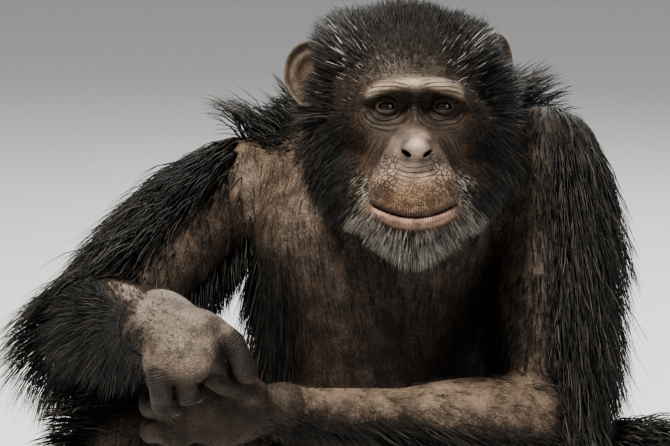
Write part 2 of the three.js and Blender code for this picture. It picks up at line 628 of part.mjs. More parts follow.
part("head", 0.5, [skullCut], (grow) => {
  const field = stopped(coated(headAndNeck, FUR.head, headCoat), [skullCut]);
  const skull = star(field, HEAD_CENTRE, { sides: 32, rings: 22, pole: HEAD_OUT, face: HEAD_UP, grow, ease: closerInFront });
  if (grow) return skull;
  const lids = Object.values(EYES).map((eye) => ballOnHead(eye, [14, 13.6, 14], 0, 0, [9, 6]));
  const lip = rollOnFace(lower(mouthLine, 5), (t) => 1.5 + 3.4 * Math.sin(Math.PI * t) ** 0.5, 1.6);
  const openings = Object.values(EYES).flatMap((eye) => [
    ballOnHead(eye, [EYE_RADIUS, EYE_RADIUS, EYE_RADIUS], GAP),
    ballOnHead(add(eye, [0, 0, 14]), [11, 4.6, 9], 0, 0, [12, 6]),
  ]);
  const mouth = rollOnFace(mouthLine, (t) => 0.8 + 1.5 * Math.sin(Math.PI * t) ** 0.5, -0.2, 8, 4);
  const nostrils = [-1, 1].map((s) => ballOnHead([s * 11, -47, 43], [4.2, 2.8, 8], 0, s * 0.35, [8, 6]));
  return wasm.Manifold.union([skull, ...lids, lip]).subtract(wasm.Manifold.union([...openings, mouth, ...nostrils]));
});
for (const [side, eye] of Object.entries(EYES)) {
  part("eye_" + side, 0.1, [], (grow) => ballOnHead(eye, [EYE_RADIUS, EYE_RADIUS, EYE_RADIUS], grow ? -1 : 0));
}

// Ears: a shallow cup with a rolled rim, its inner edge sunk into the side of the head
for (const [side, { middle, outward }] of Object.entries(EARS)) {
  const s = SIDES[side];
  const facing = scale(cross(outward, [0, 1, 0]), s);
  const earAxes = [outward, [0, 1, 0], facing].map((a) => unit(add(add(scale([1, 0, 0], a[0]), HEAD_UP, a[1]), HEAD_OUT, a[2])));
  const at = (a, b, c) => add(add(add(onHead(...middle), earAxes[0], a), earAxes[1], b), earAxes[2], c);
  const disc = ellipsoid(at(0, 0, 0), [29, 34, 9], earAxes);
  const lobe = ellipsoid(at(-9, -22, 1), [14, 15, 8], earAxes);
  const bowl = ellipsoid(at(-4, 2, 11), [26, 28, 12], earAxes);
  const field = (p) => {
    const whole = smooth(disc(p), lobe(p), 8);
    return Math.max(whole, -bowl(p));
  };
  part("ear_" + side, 0.7, [], (grow) => star(field, at(1, 0, -6), { sides: 14, rings: 7, pole: earAxes[1], face: earAxes[2], grow, most: 60 }));
}

// The whole body's surface, to keep each lock outside every part
const handForms = Object.values(palms);
const everything = (p) => Math.min(bodyField(p), neckAndHead(p), ...handForms.map((f) => f(p)));
const DOWN = [0, 0, -1];
const towards = (...terms) => unit(terms.reduce((sum, [way, share]) => add(sum, way, share), [0, 0, 0]));
let seed = 7;
const random = () => {
  seed = (seed * 16807) % 2147483647;
  return seed / 2147483647;
};
const about = (size, spread = 0.12) => size * (1 + spread * (2 * random() - 1));

// A lock of the coat: a flat strip with a low ridge, rooted under the surface, bending from one way to another and
// tapering to its tip. It is kept clear of its own part's surface and of the whole body's.
function lock({ at, out, from, to, long, wide, field, flat = out }, grow) {
  const path = (t) => {
    let p = add(add(at, from, long * t), sub(to, from), (long * t * t) / 2);
    for (let i = 0; i < 3; i++) {
      const near = field(p) - 1 - 9 * t;
      const short = Math.min(near, everything(p) - FUR.body - 2 - 10 * t);
      if (short < 0) p = add(p, slope(near < short + 0.01 ? field : everything, p, 2), -short);
    }
    return [p[0], p[1], Math.max(p[2], 5 + 3 * t)];
  };
  const line = [add(at, out, -8), path(0.3), path(0.7), path(1)];
  const rings = [0.62, 1, 0.62].map((share, i) => {
    const way = unit(sub(line[i + 1], line[Math.max(0, i - 1)]));
    const side = unit(cross(way, flat));
    const over = cross(side, way);
    const half = (wide * share) / 2 + grow;
    const thick = wide * [0.17, 0.17, 0.13][i] + grow;
    return [add(add(line[i], side, half), over, -0.4 * thick), add(line[i], over, thick), add(add(line[i], side, -half), over, -0.4 * thick)];
  });
  return solidOfRings(rings, add(line[0], out, -2), add(line[3], unit(sub(line[3], line[2])), 2 * grow));
}
const locksOf = new Map(); // node name to its locks
function grows(name, field, centre, way, shape) {
  const at = add(centre, way, reach(field, centre, way, 0, 300));
  const out = slope(field, at, 2);
  if (!locksOf.has(name)) locksOf.set(name, []);
  const made = shape(at, out);
  if (!made) return;
  const stray = (ways) => unit([0, 1, 2].map((i) => ways[i] + 0.09 * (2 * random() - 1)));
  locksOf.get(name).push({ at, out, field, ...made, from: stray(made.from), to: stray(made.to) });
}

// Limbs: rows along each bone, columns round it
function limbLocks(name, field, a, b, outward, { rows, columns, spread, shape }) {
  const along = unit(sub(b, a));
  const middle = unit(add(outward, along, -dot(outward, along)));
  const side = cross(along, middle);
  rows.forEach((t, row) => {
    for (let column = 0; column < columns; column++) {
      const turn = spread * ((column + 0.5 * (row % 2) + 0.25) / columns - 0.5) * 2;
      const way = towards([middle, Math.cos(turn)], [side, Math.sin(turn)]);
      grows(name, field, mix(a, b, about(t, 0.04)), way, (at, out) => shape(along, out, t));
    }
  });
}
for (const side of Object.keys(SIDES)) {
  const { shoulder, elbow, wrist, hip, knee, ankle } = JOINTS[side];
  const left = side === "left";
  limbLocks("upper_arm_" + side, coated(arms[side], FUR.body, upperArmCoat(side)), shoulder, elbow, ARM_OUT[side], {
    rows: [0, 0.24, 0.48, 0.72],
    columns: left ? 5 : 4,
    spread: left ? 1.6 : 1.45,
    shape: (along, out) => ({
      from: towards([along, 0.85], [out, left ? 0.5 : 0.45]),
      to: towards([along, 0.8], [DOWN, left ? 0.4 : 0.5], [out, 0.1]),
      long: about(left ? 114 : 104, 0.15),
      wide: about(35),
    }),
  });
  const armTop = coated(arms[side], FUR.body, upperArmCoat(side));
  for (const [t, lean] of [[-0.12, 0], [-0.02, 0.2], [0.08, 0.5]]) {
    const way = towards([[0, 0, 1], Math.cos(lean)], [[SIDES[side], 0.3, 0], Math.sin(lean)]);
    grows("upper_arm_" + side, armTop, mix(shoulder, elbow, t), way, (at, out) => ({
      from: towards([out, 0.85], [[SIDES[side], 0.2, 0], 0.5]),
      to: towards([[SIDES[side], 0, 0], 0.85], [out, 0.4], [DOWN, 0.3]),
      long: about(56, 0.15),
      wide: about(30),
      flat: [0, -1, 0],
    }));
  }
  limbLocks("forearm_" + side, coated(arms[side], FUR.body, forearmCoat(side)), elbow, wrist, FOREARM_OUT[side], {
    rows: left ? [0.14, 0.4, 0.66] : [0, 0.2, 0.42, 0.64],
    columns: 4,
    spread: left ? 1.3 : 1.7,
    shape: (along, out) => ({
      from: towards([out, 0.7], [along, -0.6]),
      to: towards([along, -0.75], [out, left ? 0.1 : 0.3], [DOWN, left ? 0.8 : 0.6]),
      long: about(left ? 54 : 48, 0.15),
      wide: about(28),
    }),
  });
  limbLocks("thigh_" + side, coated(legs[side], FUR.body, legCoat(side)), hip, knee, unit([SIDES[side] * 0.8, 0.1, 0.6]), {
    rows: [0.34, 0.56, 0.8],
    columns: 3,
    spread: 1.35,
    shape: (along, out) => ({
      from: towards([along, 0.9], [out, 0.36]),
      to: towards([along, 0.75], [DOWN, 0.5], [out, 0.05]),
      long: about(84, 0.15),
      wide: about(40),
    }),
  });
  limbLocks("shin_" + side, coated(legs[side], FUR.body, legCoat(side)), knee, ankle, unit([SIDES[side] * 0.5, -0.8, 0.2]), {
    rows: [0.08, 0.36],
    columns: 4,
    spread: 2,
    shape: (along, out) => ({
      from: towards([along, 0.85], [out, 0.4]),
      to: towards([along, 0.7], [DOWN, 0.5], [out, 0.06]),
      long: about(72, 0.15),
      wide: about(30),
    }),
  });
}

// Trunk: rows round the back and flanks, and a standing mane along the tops of the shoulders
const trunkSkin = coated(bodyField, FUR.body, trunkCoat);
function backLocks(name, rows, columns, [first, last], shape) {
  rows.forEach((z, row) => {
    for (let column = 0; column < columns; column++) {
      const turn = first + ((last - first) * (column + 0.5 * (row % 2))) / (columns - 0.5);
      grows(name, trunkSkin, [6, -30, about(z, 0.02)], [Math.sin(turn), -Math.cos(turn), 0], (at, out) => shape(out));
    }
  });
}
const hanging = (long, wide) => (out) => ({
  from: towards([DOWN, 0.85], [out, 0.45]),
  to: towards([DOWN, 1], [out, 0.1]),
  long: about(long, 0.15),
  wide: about(wide),
});
backLocks("chest", [340, 425, 508], 5, [1.9, 4.4], hanging(124, 54));
backLocks("belly_and_seat", [128, 224], 6, [1.65, 4.65], hanging(112, 56));
for (const [side, s] of Object.entries(SIDES)) {
  const outer = add(JOINTS[side].shoulder, [-s * 26, -6, 4]);
  const inner = [14 + s * 44, -50, 530];
  for (const [row, count] of [[0, 5], [1, 4]]) {
    for (let i = 0; i < count; i++) {
      const lean = row ? 0.8 : 0.12;
      const way = towards([[0, 0, 1], Math.cos(lean)], [[0, 1, 0], Math.sin(lean)]);
      grows("chest", trunkSkin, mix(outer, inner, (i + 0.5 * row) / (count - 0.5)), way, (at, out) => ({
        from: towards([out, 0.9], [[s, 0, 0], 0.3]),
        to: towards([[s, 0, 0], 0.65], [out, 0.6], [[0, 1, 0], 0.5 * row], [DOWN, 0.1 + 0.3 * row]),
        long: about(58, 0.15),
        wide: about(29),
        flat: [0, -1, 0],
      }));
    }
  }
}

// Head: hair radiates back from the brow, whiskers fan out from the cheeks and a beard rims the chin
const headSkin = coated(headAndNeck, FUR.head, headCoat);
const ofHead = (u, v, w) => towards([[1, 0, 0], u], [HEAD_UP, v], [HEAD_OUT, w]);
const clearOfEars = (p) => Object.values(EARS).every(({ middle }) => distance(p, onHead(...middle)) > 44);
function headLocks(polar, count, [first, last], shape) {
  for (let i = 0; i < count; i++) {
    const turn = first + ((last - first) * (i + 0.5)) / count;
    const round = ofHead(Math.sin(turn), Math.cos(turn), 0);
    const way = towards([round, Math.sin(polar)], [HEAD_OUT, Math.cos(polar)]);
    grows("head", headSkin, HEAD_CENTRE, way, (at, out) => (clearOfEars(at) ? shape(out, round) : null));
  }
}
// Hair on the crown lies back, and on the sides it falls a little and stands off
const swept = (long, wide, stand, fall) => (out, round) => ({
  from: towards([out, stand], [HEAD_OUT, -0.85], [HEAD_UP, -fall]),
  to: towards([HEAD_OUT, -0.8], [out, stand * 0.7], [HEAD_UP, -fall - 0.1]),
  long: about(long, 0.15),
  wide: about(wide),
});
headLocks(1.02, 3, [-0.6, 0.6], swept(44, 27, 0.3, 0));
for (const s of [-1, 1]) {
  headLocks(1.0, 2, [s * 0.7, s * 1.2], swept(46, 27, 0.7, 0));
  headLocks(1.3, 3, [s * 0.45, s * 1.12], swept(50, 28, 0.85, -0.15));
  headLocks(1.62, 3, [s * 0.5, s * 1.15], swept(50, 30, 0.8, -0.1));
}
headLocks(1.4, 2, [-0.45, 0.45], swept(48, 30, 0.34, 0));
headLocks(1.88, 4, [-1.1, 1.1], swept(50, 36, 0.34, 0.25));
headLocks(2.2, 4, [-1.3, 1.3], swept(46, 40, 0.34, 0.8));
const fanned = (long, wide, fall) => (out, round) => ({
  from: towards([round, 0.7], [out, 0.55], [HEAD_OUT, -0.25]),
  to: towards([round, 0.75], [HEAD_OUT, -0.45], [HEAD_UP, -fall]),
  long: about(long, 0.15),
  wide: about(wide),
});
for (const s of [-1, 1]) {
  headLocks(1.0, 4, [s * 1.25, s * 2.35], fanned(33, 23, 0.5));
  headLocks(1.36, 3, [s * 1.6, s * 2.5], fanned(36, 31, 0.5));
}
headLocks(0.84, 7, [2.4, 3.88], fanned(27, 20, 0.5));
headLocks(1.08, 4, [2.5, 3.78], fanned(30, 27, 0.5));
for (let i = 0; i < 4; i++) {
  const turn = 2.2 + (1.9 * (i + 0.3)) / 4;
  const way = unit([Math.sin(turn), -Math.cos(turn), 0.5]);
  grows("neck", coated(neckAndHead, FUR.body), [22, -110, 570], way, (at, out) => ({
    from: towards([out, 0.7], [[0, 0.7, 0.2], 0.9]),
    to: towards([[0, 0.8, -0.4], 0.9], [out, 0.25]),
    long: about(62, 0.15),
    wide: about(40),
  }));
}
// A lock that would fold over itself is left out
const LOCK_GROWN = 0.6;
const sound = (shape) => lock(shape, 0).subtract(lock(shape, LOCK_GROWN)).volume() < 0.005;
for (const [name, all] of locksOf) {
  const node = nodes.get(name);
  const locks = all.filter(sound);
  node.core = wasm.Manifold.union([node.core, ...locks.map((shape) => lock(shape, 0))]);
  node.grown = wasm.Manifold.union([node.grown, ...locks.map((shape) => lock(shape, LOCK_GROWN))]);
}

// Parts meet face to face: what comes first keeps its shape, and what comes later is cut clear of it
const order = [...nodes.keys()].sort((a, b) => nodes.get(a).priority - nodes.get(b).priority);
const touches = (a, b) => {
  const x = a.boundingBox();
  const y = b.boundingBox();
  return [0, 1, 2].every((k) => x.min[k] < y.max[k] + 1 && y.min[k] < x.max[k] + 1);
};
const largest = (solid) => solid.decompose().sort((a, b) => b.volume() - a.volume())[0];
order.forEach((name, i) => {
  const node = nodes.get(name);
  for (const other of order.slice(0, i)) {
    if (name === "head") continue;
    const { grown } = nodes.get(other);
    if (touches(node.core, grown)) node.core = node.core.subtract(grown);
  }
  node.core = largest(node.core);
});

const MATERIALS = {
  skin: new THREE.MeshStandardMaterial({ color: 0x3d2d27, roughness: 0.6 }),
  fur: new THREE.MeshStandardMaterial({ color: 0x1c1b1a, roughness: 0.7 }),
};
const chimpanzee = new THREE.Group();
for (const [name, { core }] of nodes) {
  const mesh = core.getMesh();
  const geometry = new THREE.BufferGeometry();
  geometry.setAttribute("position", new THREE.Float32BufferAttribute(mesh.vertProperties, 3));
  geometry.setIndex([...mesh.triVerts]);
  geometry.computeVertexNormals();
  const shown = new THREE.Mesh(geometry, /finger|palm|toe|foot/.test(name) ? MATERIALS.skin : MATERIALS.fur);
  shown.name = name;
  chimpanzee.add(shown);
}
export default chimpanzee;
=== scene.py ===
# %% [markdown]
# # A sitting chimpanzee, life size
# An adult male chimpanzee sits with its trunk bent forward, its forearms over its knees and its hands joined.
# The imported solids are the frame: they fix every size and place. Over them goes one skin with its folds,
# then eyes, nails and a coat of 77,000 fine tufts.

import bmesh
import bpy
import numpy as np
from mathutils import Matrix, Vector
from mathutils.kdtree import KDTree


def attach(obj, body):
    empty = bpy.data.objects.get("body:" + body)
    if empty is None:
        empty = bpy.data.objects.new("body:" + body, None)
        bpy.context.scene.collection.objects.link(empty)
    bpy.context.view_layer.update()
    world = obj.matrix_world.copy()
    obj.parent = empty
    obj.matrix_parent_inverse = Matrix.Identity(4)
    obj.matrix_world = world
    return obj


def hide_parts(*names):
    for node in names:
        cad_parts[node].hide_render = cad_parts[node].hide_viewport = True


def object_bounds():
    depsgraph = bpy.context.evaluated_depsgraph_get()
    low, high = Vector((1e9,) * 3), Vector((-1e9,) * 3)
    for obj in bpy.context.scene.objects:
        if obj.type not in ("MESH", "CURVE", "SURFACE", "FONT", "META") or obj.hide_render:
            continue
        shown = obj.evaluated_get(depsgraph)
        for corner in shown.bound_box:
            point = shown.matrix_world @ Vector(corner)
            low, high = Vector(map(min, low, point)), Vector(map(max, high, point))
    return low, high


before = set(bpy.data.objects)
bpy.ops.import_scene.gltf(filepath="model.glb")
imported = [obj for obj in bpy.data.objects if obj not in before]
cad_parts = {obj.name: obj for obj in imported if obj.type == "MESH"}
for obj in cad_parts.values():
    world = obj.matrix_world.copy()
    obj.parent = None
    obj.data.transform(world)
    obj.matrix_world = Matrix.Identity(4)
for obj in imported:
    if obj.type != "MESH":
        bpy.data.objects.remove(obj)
CAD_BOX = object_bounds()
MM = 0.001  # the anatomy below is written in millimetres, and Blender works in metres
rng = np.random.default_rng(20)
print("box of the solids", [[round(x, 3) for x in corner] for corner in CAD_BOX])

# %% [markdown]
# The photograph was taken with a long lens, a little above the animal's eyes and looking down at it by 10 degrees.
# A camera with the same lens and place gives the same outline, so it is made first. The focal length is
# 3000 pixels of an image 670 pixels wide, which a 36 mm sensor turns into millimetres.

# %% Camera
PICTURE_WIDTH = 670
FOCAL_PIXELS = 3000
camera_data = bpy.data.cameras.new("camera")
camera_data.sensor_width = 36
camera_data.lens = FOCAL_PIXELS * 36 / PICTURE_WIDTH
camera = bpy.data.objects.new("camera", camera_data)
camera.location = (-0.048, -3.2397, 1.0197)
camera.rotation_euler = (np.radians(80), 0, 0)
bpy.context.scene.collection.objects.link(camera)
bpy.context.scene.camera = camera
print("lens", round(camera_data.lens, 1), "mm")

# %% [markdown]
# The body is one field of distances, written with the same joints and muscle sizes as the solids, so the skin
# lies inside them by the depth of the coat. A field tells for any point how far it is from the surface, negative
# inside. Points are the columns x, y and z of one array, so that a million of them are worked out at once.

# %% Small forms: capsules, ellipsoids and smooth unions
AXES = np.eye(3)


def unit(v):
    """The vector or vectors v, each divided by its own length."""
    v = np.asarray(v, float)
    return v / np.maximum(np.linalg.norm(v, axis=-1, keepdims=True), 1e-9)


def mix(a, b, t):
    """The point a share t of the way from a to b."""
    return np.asarray(a, float) * (1 - t) + np.asarray(b, float) * t


def plus(a, b, s=1.0):
    return np.asarray(a, float) + np.asarray(b, float) * s


def ramp(x, low, high):
    """0 below low, 1 above high, and a smooth S between them."""
    t = np.clip((x - low) / (high - low), 0, 1)
    return t * t * (3 - 2 * t)


class Form:
    """One formula for the distance to a form. near(c, r) gives what matters within r of c, and the distance at c."""

    def __init__(self, distance):
        self.distance = distance

    def __call__(self, p):
        return self.distance(p)

    def near(self, centre, radius):
        return self, float(self(np.reshape(centre, (3, 1)))[0])


SLACK = 2.2  # a form further off than the nearest by this many radii can't show in a block of points


def size(x, y, z):
    return np.sqrt(x * x + y * y + z * z)


def capsule(a, b, radius_a, radius_b):
    """Distance to the segment from a to b, less a radius that runs from one end's to the other's."""
    a, b = np.asarray(a, float), np.asarray(b, float)
    ab = b - a
    ll = ab @ ab

    def distance(p):
        x, y, z = p[0] - a[0], p[1] - a[1], p[2] - a[2]
        t = np.clip((x * ab[0] + y * ab[1] + z * ab[2]) / ll, 0, 1)
        return size(x - t * ab[0], y - t * ab[1], z - t * ab[2]) - (radius_a + (radius_b - radius_a) * t)

    return Form(distance)


def chain(joints, radii):
    """The smallest of the distances to the capsules from joint to joint, all of them worked out at once."""
    joints, radii = np.asarray(joints, float), np.asarray(radii, float)
    a, ab = joints[:-1].T[:, :, None], np.diff(joints, axis=0).T[:, :, None]
    ll = (ab * ab).sum(0)
    first, more = radii[:-1, None], np.diff(radii)[:, None]

    def distance(p):
        q = p[:, None, :] - a
        t = np.clip((q * ab).sum(0) / ll, 0, 1)
        q -= t * ab
        return (np.sqrt((q * q).sum(0)) - first - more * t).min(0)

    return Form(distance)


def ellipsoid(centre, radii, axes=AXES):
    """k0 (k0 - 1) / k1, where k0 and k1 are the lengths of the point over the radii and over their squares."""
    centre, radii, axes = np.asarray(centre, float), np.asarray(radii, float), np.asarray(axes, float)

    def distance(p):
        x, y, z = p[0] - centre[0], p[1] - centre[1], p[2] - centre[2]
        k = [(x * axis[0] + y * axis[1] + z * axis[2]) / radius for axis, radius in zip(axes, radii)]
        k0 = size(*k)
        return k0 * (k0 - 1) / np.maximum(size(*(a / radius for a, radius in zip(k, radii))), 1e-9)

    return Form(distance)


def axes_along(direction, side=(1, 0, 0)):
    a = unit(direction)
    c = unit(np.cross(a, side))
    return np.array([a, unit(np.cross(c, a)), c])


def muscle(a, b, along, across, thick=None):
    """An ellipsoid whose long axis lies between two points."""
    return ellipsoid(mix(a, b, 0.5), [along, across, thick or across], axes_along(plus(b, a, -1)))


def smooth(a, b, k):
    """The smaller of two distances, with the corner between them rounded over k."""
    h = np.maximum(k - np.abs(a - b), 0) / k
    return np.minimum(a, b) - h * h * k / 4


class merged(Form):
    """Forms that flow into one another, with every corner between them rounded over k."""

    def __init__(self, forms, k):
        self.forms, self.k = forms, k

    def distance(self, p):
        d = self.forms[0](p)
        for other in self.forms[1:]:
            d = smooth(d, other(p), self.k)
        return d

    def near(self, centre, radius):
        found = [form.near(centre, radius) for form in self.forms]
        least = min(d for _, d in found)
        kept = [form for form, d in found if d <= least + SLACK * radius + self.k]
        return (kept[0] if len(kept) == 1 else merged(kept, self.k)), least


class welded(Form):
    """Two parts that flow into one another round their joint, and only touch further off."""

    def __init__(self, a, b, joint, within, k, fade=50):
        self.a, self.b, self.rest = a, b, (np.asarray(joint, float), within, k, fade)

    def distance(self, p):
        joint, within, k, fade = self.rest
        away = size(p[0] - joint[0], p[1] - joint[1], p[2] - joint[2])
        local = np.maximum(k * (1 - np.clip((away - within) / fade, 0, 1)), 0.5)
        return smooth(self.a(p), self.b(p), local)

    def near(self, centre, radius):
        (a, da), (b, db) = self.a.near(centre, radius), self.b.near(centre, radius)
        room = SLACK * radius + self.rest[2]
        if abs(da - db) > room:
            return (a, da) if da < db else (b, db)
        return welded(a, b, *self.rest), min(da, db)


print("forms ready")

# %% [markdown]
# Anatomy: each limb has its joints, and the muscles are spindles that bulge between them. The left arm hangs
# from a raised shoulder and its forearm crosses the lap. The right arm reaches out to the side, with the elbow on
# the knee, and the forearm comes back towards the viewer, which is why it looks so short in the picture.

# %% Joints, trunk and limbs
SIDES = {"right": -1, "left": 1}
JOINTS = {
    "right": {"shoulder": (-159, 5, 485), "elbow": (-289, -180, 372), "wrist": (-228, -425, 423),
              "hip": (-88, -5, 108), "knee": (-256, -205, 252), "ankle": (-165, -328, 74)},
    "left": {"shoulder": (178, -95, 537), "elbow": (170, -205, 272), "wrist": (-100, -330, 320),
             "hip": (88, -5, 108), "knee": (266, -200, 206), "ankle": (178, -340, 72)},
}
FEET = {
    "right": {"heel": (-176, -292, 33), "ball": (-152, -428, 24), "turn": (0.985, 0.174, 0)},
    "left": {"heel": (188, -304, 33), "ball": (170, -440, 24), "turn": (0.99, -0.13, 0)},
}
BALL_HALF = 43  # half the breadth of the foot at the ball
NECK_ROOT = (14, -72, 545)
SKULL_ROOT = (30, -158, 590)
across_shoulders = unit(plus(JOINTS["left"]["shoulder"], JOINTS["right"]["shoulder"], -1))
trunk = merged([
    ellipsoid((0, 4, 112), (132, 106, 124)),
    capsule((-62, 20, 78), (62, 20, 78), 84, 84),
    ellipsoid((0, -28, 248), (134, 118, 122)),
    ellipsoid((2, -54, 390), (124, 112, 160)),
    ellipsoid((6, -30, 478), (112, 88, 92)),
    capsule((-76, -76, 446), (82, -104, 462), 54, 54),
    capsule(plus(JOINTS["right"]["shoulder"], across_shoulders, 36),
            plus(JOINTS["left"]["shoulder"], across_shoulders, -36), 49, 49),
], 40)
neck = merged([
    capsule((12, -62, 535), (32, -150, 600), 78, 70),
    capsule((-84, -22, 520), (18, -110, 596), 42, 44),
    capsule((96, -84, 543), (38, -118, 600), 42, 44),
], 30)


def arm(side):
    shoulder, elbow, wrist = (JOINTS[side][name] for name in ("shoulder", "elbow", "wrist"))
    down = unit(plus(elbow, shoulder, -1))
    forward = unit(np.cross(np.cross(down, (0, -1, 0)), down))
    return merged([
        muscle(plus(shoulder, down, -18), plus(shoulder, down, 92), 78, 52, 50),
        capsule(shoulder, elbow, 45, 38),
        muscle(plus(mix(shoulder, elbow, 0.3), forward, 12), plus(mix(shoulder, elbow, 0.82), forward, 12), 92, 41, 40),
        muscle(plus(mix(shoulder, elbow, 0.2), forward, -14),
               plus(mix(shoulder, elbow, 0.8), forward, -14), 96, 42, 38),
        ellipsoid(plus(elbow, (SIDES[side] * 2, 4, -2)), (40, 40, 40)),
        muscle(mix(elbow, wrist, -0.06), mix(elbow, wrist, 0.5), 92, 43, 42),
        capsule(elbow, wrist, 36, 20),
    ], 26)


def leg(side):
    hip, knee, ankle = (JOINTS[side][name] for name in ("hip", "knee", "ankle"))
    return merged([
        capsule(hip, knee, 80, 52),
        muscle(mix(hip, knee, 0.05), mix(hip, knee, 0.8), 150, 78, 76),
        ellipsoid(knee, (52, 52, 52)),
        muscle(plus(mix(knee, ankle, 0.05), (0, 14, 0)), plus(mix(knee, ankle, 0.65), (0, 12, 0)), 96, 46, 44),
        capsule(knee, ankle, 44, 29),
    ], 26)


TOES = {"great": None, "second": 0.66, "third": 0.19, "fourth": -0.28, "fifth": -0.72}


def toe_joints(side, place):
    """Root, two knuckles and tip of a toe: the four small ones spread from the ball, the great one stands off."""
    heel, ball, turn = (np.array(FEET[side][name], float) for name in ("heel", "ball", "turn"))
    along, inward = unit(ball - heel), -SIDES[side] * turn
    great = place is None
    if great:
        root = mix(heel, ball, 0.62) + 22 * inward
    else:
        root = ball + BALL_HALF * place * inward - (6 + 10 * abs(place)) * along
    way = unit(0.8 * along + 0.66 * inward) if great else unit(along + 0.26 * place * inward)
    long = 84 if great else 78 - 12 * abs(place - 0.2)
    radii = (14, 13, 12.5, 10.5) if great else (10, 9, 8.5, 7.5)
    points = [root + way * long * t for t in (0, 0.34, 0.68, 1)]
    return [np.array([p[0], p[1], r - 0.5 + lift]) for p, r, lift in zip(points, radii, (10, 6, 0, 0))], radii


def foot(side):
    ankle = JOINTS[side]["ankle"]
    heel, ball, turn = (np.array(FEET[side][name], float) for name in ("heel", "ball", "turn"))
    along = unit(ball - heel)
    turned = np.array([along, turn, np.cross(along, turn)])
    sole = merged([
        capsule(ankle, plus(ankle, (0, -6, -30)), 30, 30),
        ellipsoid(plus(heel, (0, 0, -1)), (33, 36, 36)),
        ellipsoid(plus(mix(heel, ball, 0.55), (0, 0, -4)), (84, 37, 31), turned),
        ellipsoid(plus(ball, (0, 0, -3)), (34, 43, 25), turned),
    ], 18)
    toes = [chain(*toe_joints(side, place)) for place in TOES.values()]
    return merged([sole] + toes, 7)


print("trunk, limbs and feet ready")

# %% [markdown]
# Hands are what the eye goes to after the face. Each digit is a chain of three bones with thicker knuckles. The
# right hand hangs over the left wrist with its fingers curled, and the left hand closes from below. Digits of one
# hand flow together only at their roots.

# %% Hands
HANDS = {
    "right": {
        "knuckles": (-186, -446, 412), "breadth": (0.66, 0.36, 0.42), "half": 36,
        "digits": {
            "index": ((13, 12.5, 12, 10), ((-160, -434, 419), (-146, -440, 409), (-134, -428, 380), (-132, -396, 370))),
            "middle": ((13.5, 13, 12.5, 10),
                       ((-178, -446, 411), (-168, -453, 404), (-163, -436, 377), (-156, -404, 378))),
            "ring": ((13, 12.5, 12, 10), ((-198, -454, 402), (-191, -463, 393), (-190, -451, 363), (-182, -420, 357))),
            "little": ((12.5, 12, 11, 9), ((-219, -456, 392), (-214, -467, 382), (-212, -457, 354), (-203, -430, 345))),
            "thumb": ((12, 11, 10, 8.5), ((-190, -408, 408), (-176, -396, 397), (-160, -386, 384), (-148, -380, 368))),
        },
    },
    "left": {
        "knuckles": (-203, -378, 328), "breadth": (0.16, 0.1, 0.98), "half": 37,
        "digits": {
            "index": ((13.5, 12.5, 11.5, 9.5),
                      ((-206, -376, 356), (-222, -366, 357), (-222, -334, 352), (-196, -326, 346))),
            "middle": ((13.5, 12.5, 11.5, 9.5),
                       ((-212, -380, 332), (-228, -368, 331), (-228, -332, 327), (-200, -324, 320))),
            "ring": ((13, 12, 11, 9), ((-212, -380, 308), (-228, -368, 305), (-227, -334, 301), (-200, -326, 294))),
            "little": ((12, 11, 10, 8.5), ((-206, -378, 288), (-220, -368, 282), (-218, -338, 277), (-194, -330, 270))),
            "thumb": ((15, 13, 11.5, 9.5),
                      ((-128, -368, 344), (-146, -392, 357), (-156, -420, 366), (-166, -452, 378))),
        },
    },
}


def rounded_path(points, count):
    """A curve through the joints: each stretch is a cubic, and its slope at a joint is (next - last) / 2."""
    points = np.array(points, float)
    ends = np.vstack([2 * points[0] - points[1], points, 2 * points[-1] - points[-2]])
    slopes = (ends[2:] - ends[:-2]) / 2
    s = np.linspace(0, len(points) - 1, count)
    i = np.minimum(s.astype(int), len(points) - 2)
    t = (s - i)[:, None]
    return ((2 * t**3 - 3 * t**2 + 1) * points[i] + (t**3 - 2 * t**2 + t) * slopes[i]
            + (3 * t**2 - 2 * t**3) * points[i + 1] + (t**3 - t**2) * slopes[i + 1])


def digit(radii, joints):
    path = rounded_path(joints, 7)
    thick = np.interp(np.linspace(0, 3, 7), range(4), radii) - 0.5
    thick[[2, 4]] += 0.8
    return chain(path, thick)


def palm(side):
    wrist = JOINTS[side]["wrist"]
    hand = HANDS[side]
    knuckles, breadth, half = hand["knuckles"], unit(hand["breadth"]), hand["half"]
    along = unit(plus(knuckles, wrist, -1))
    thick = unit(np.cross(along, breadth))
    row = plus(knuckles, along, -4)
    return merged([
        capsule(wrist, mix(wrist, knuckles, 0.4), 24, 22),
        ellipsoid(mix(wrist, knuckles, 0.62), (54, half, 21), [along, breadth, thick]),
        capsule(plus(row, breadth, half - 14), plus(row, breadth, 14 - half), 16, 15),
    ], 14)


def hand(side):
    digits = merged([digit(*shape) for shape in HANDS[side]["digits"].values()], 1.2)
    return merged([palm(side), digits], 8)


print("hands ready")

# %% [markdown]
# The head has its own frame, with u to the image right, v up the face and w out of it, because the face looks up
# by 10 degrees. The brow is a bar that overhangs the eyes, the muzzle a broad cone with the nose flat on it, and
# the sockets are carved out. Lids are shells round the eyeballs, with an almond opening cut through them.

# %% Head
EYE_MIDDLE = np.array((32, -265, 614), float)
TILT = np.radians(10)
HEAD_AXES = np.array([(1, 0, 0), (0, np.sin(TILT), np.cos(TILT)), (0, -np.cos(TILT), np.sin(TILT))])
EYE_SPACING = 57
EYE_RADIUS = 12
HALF_SPACING = EYE_SPACING / 2
EYES = {"right": (-HALF_SPACING, -0.5, -11), "left": (HALF_SPACING, -0.5, -11)}


def on_head(u, v, w):
    return EYE_MIDDLE + np.array((u, v, w), float) @ HEAD_AXES


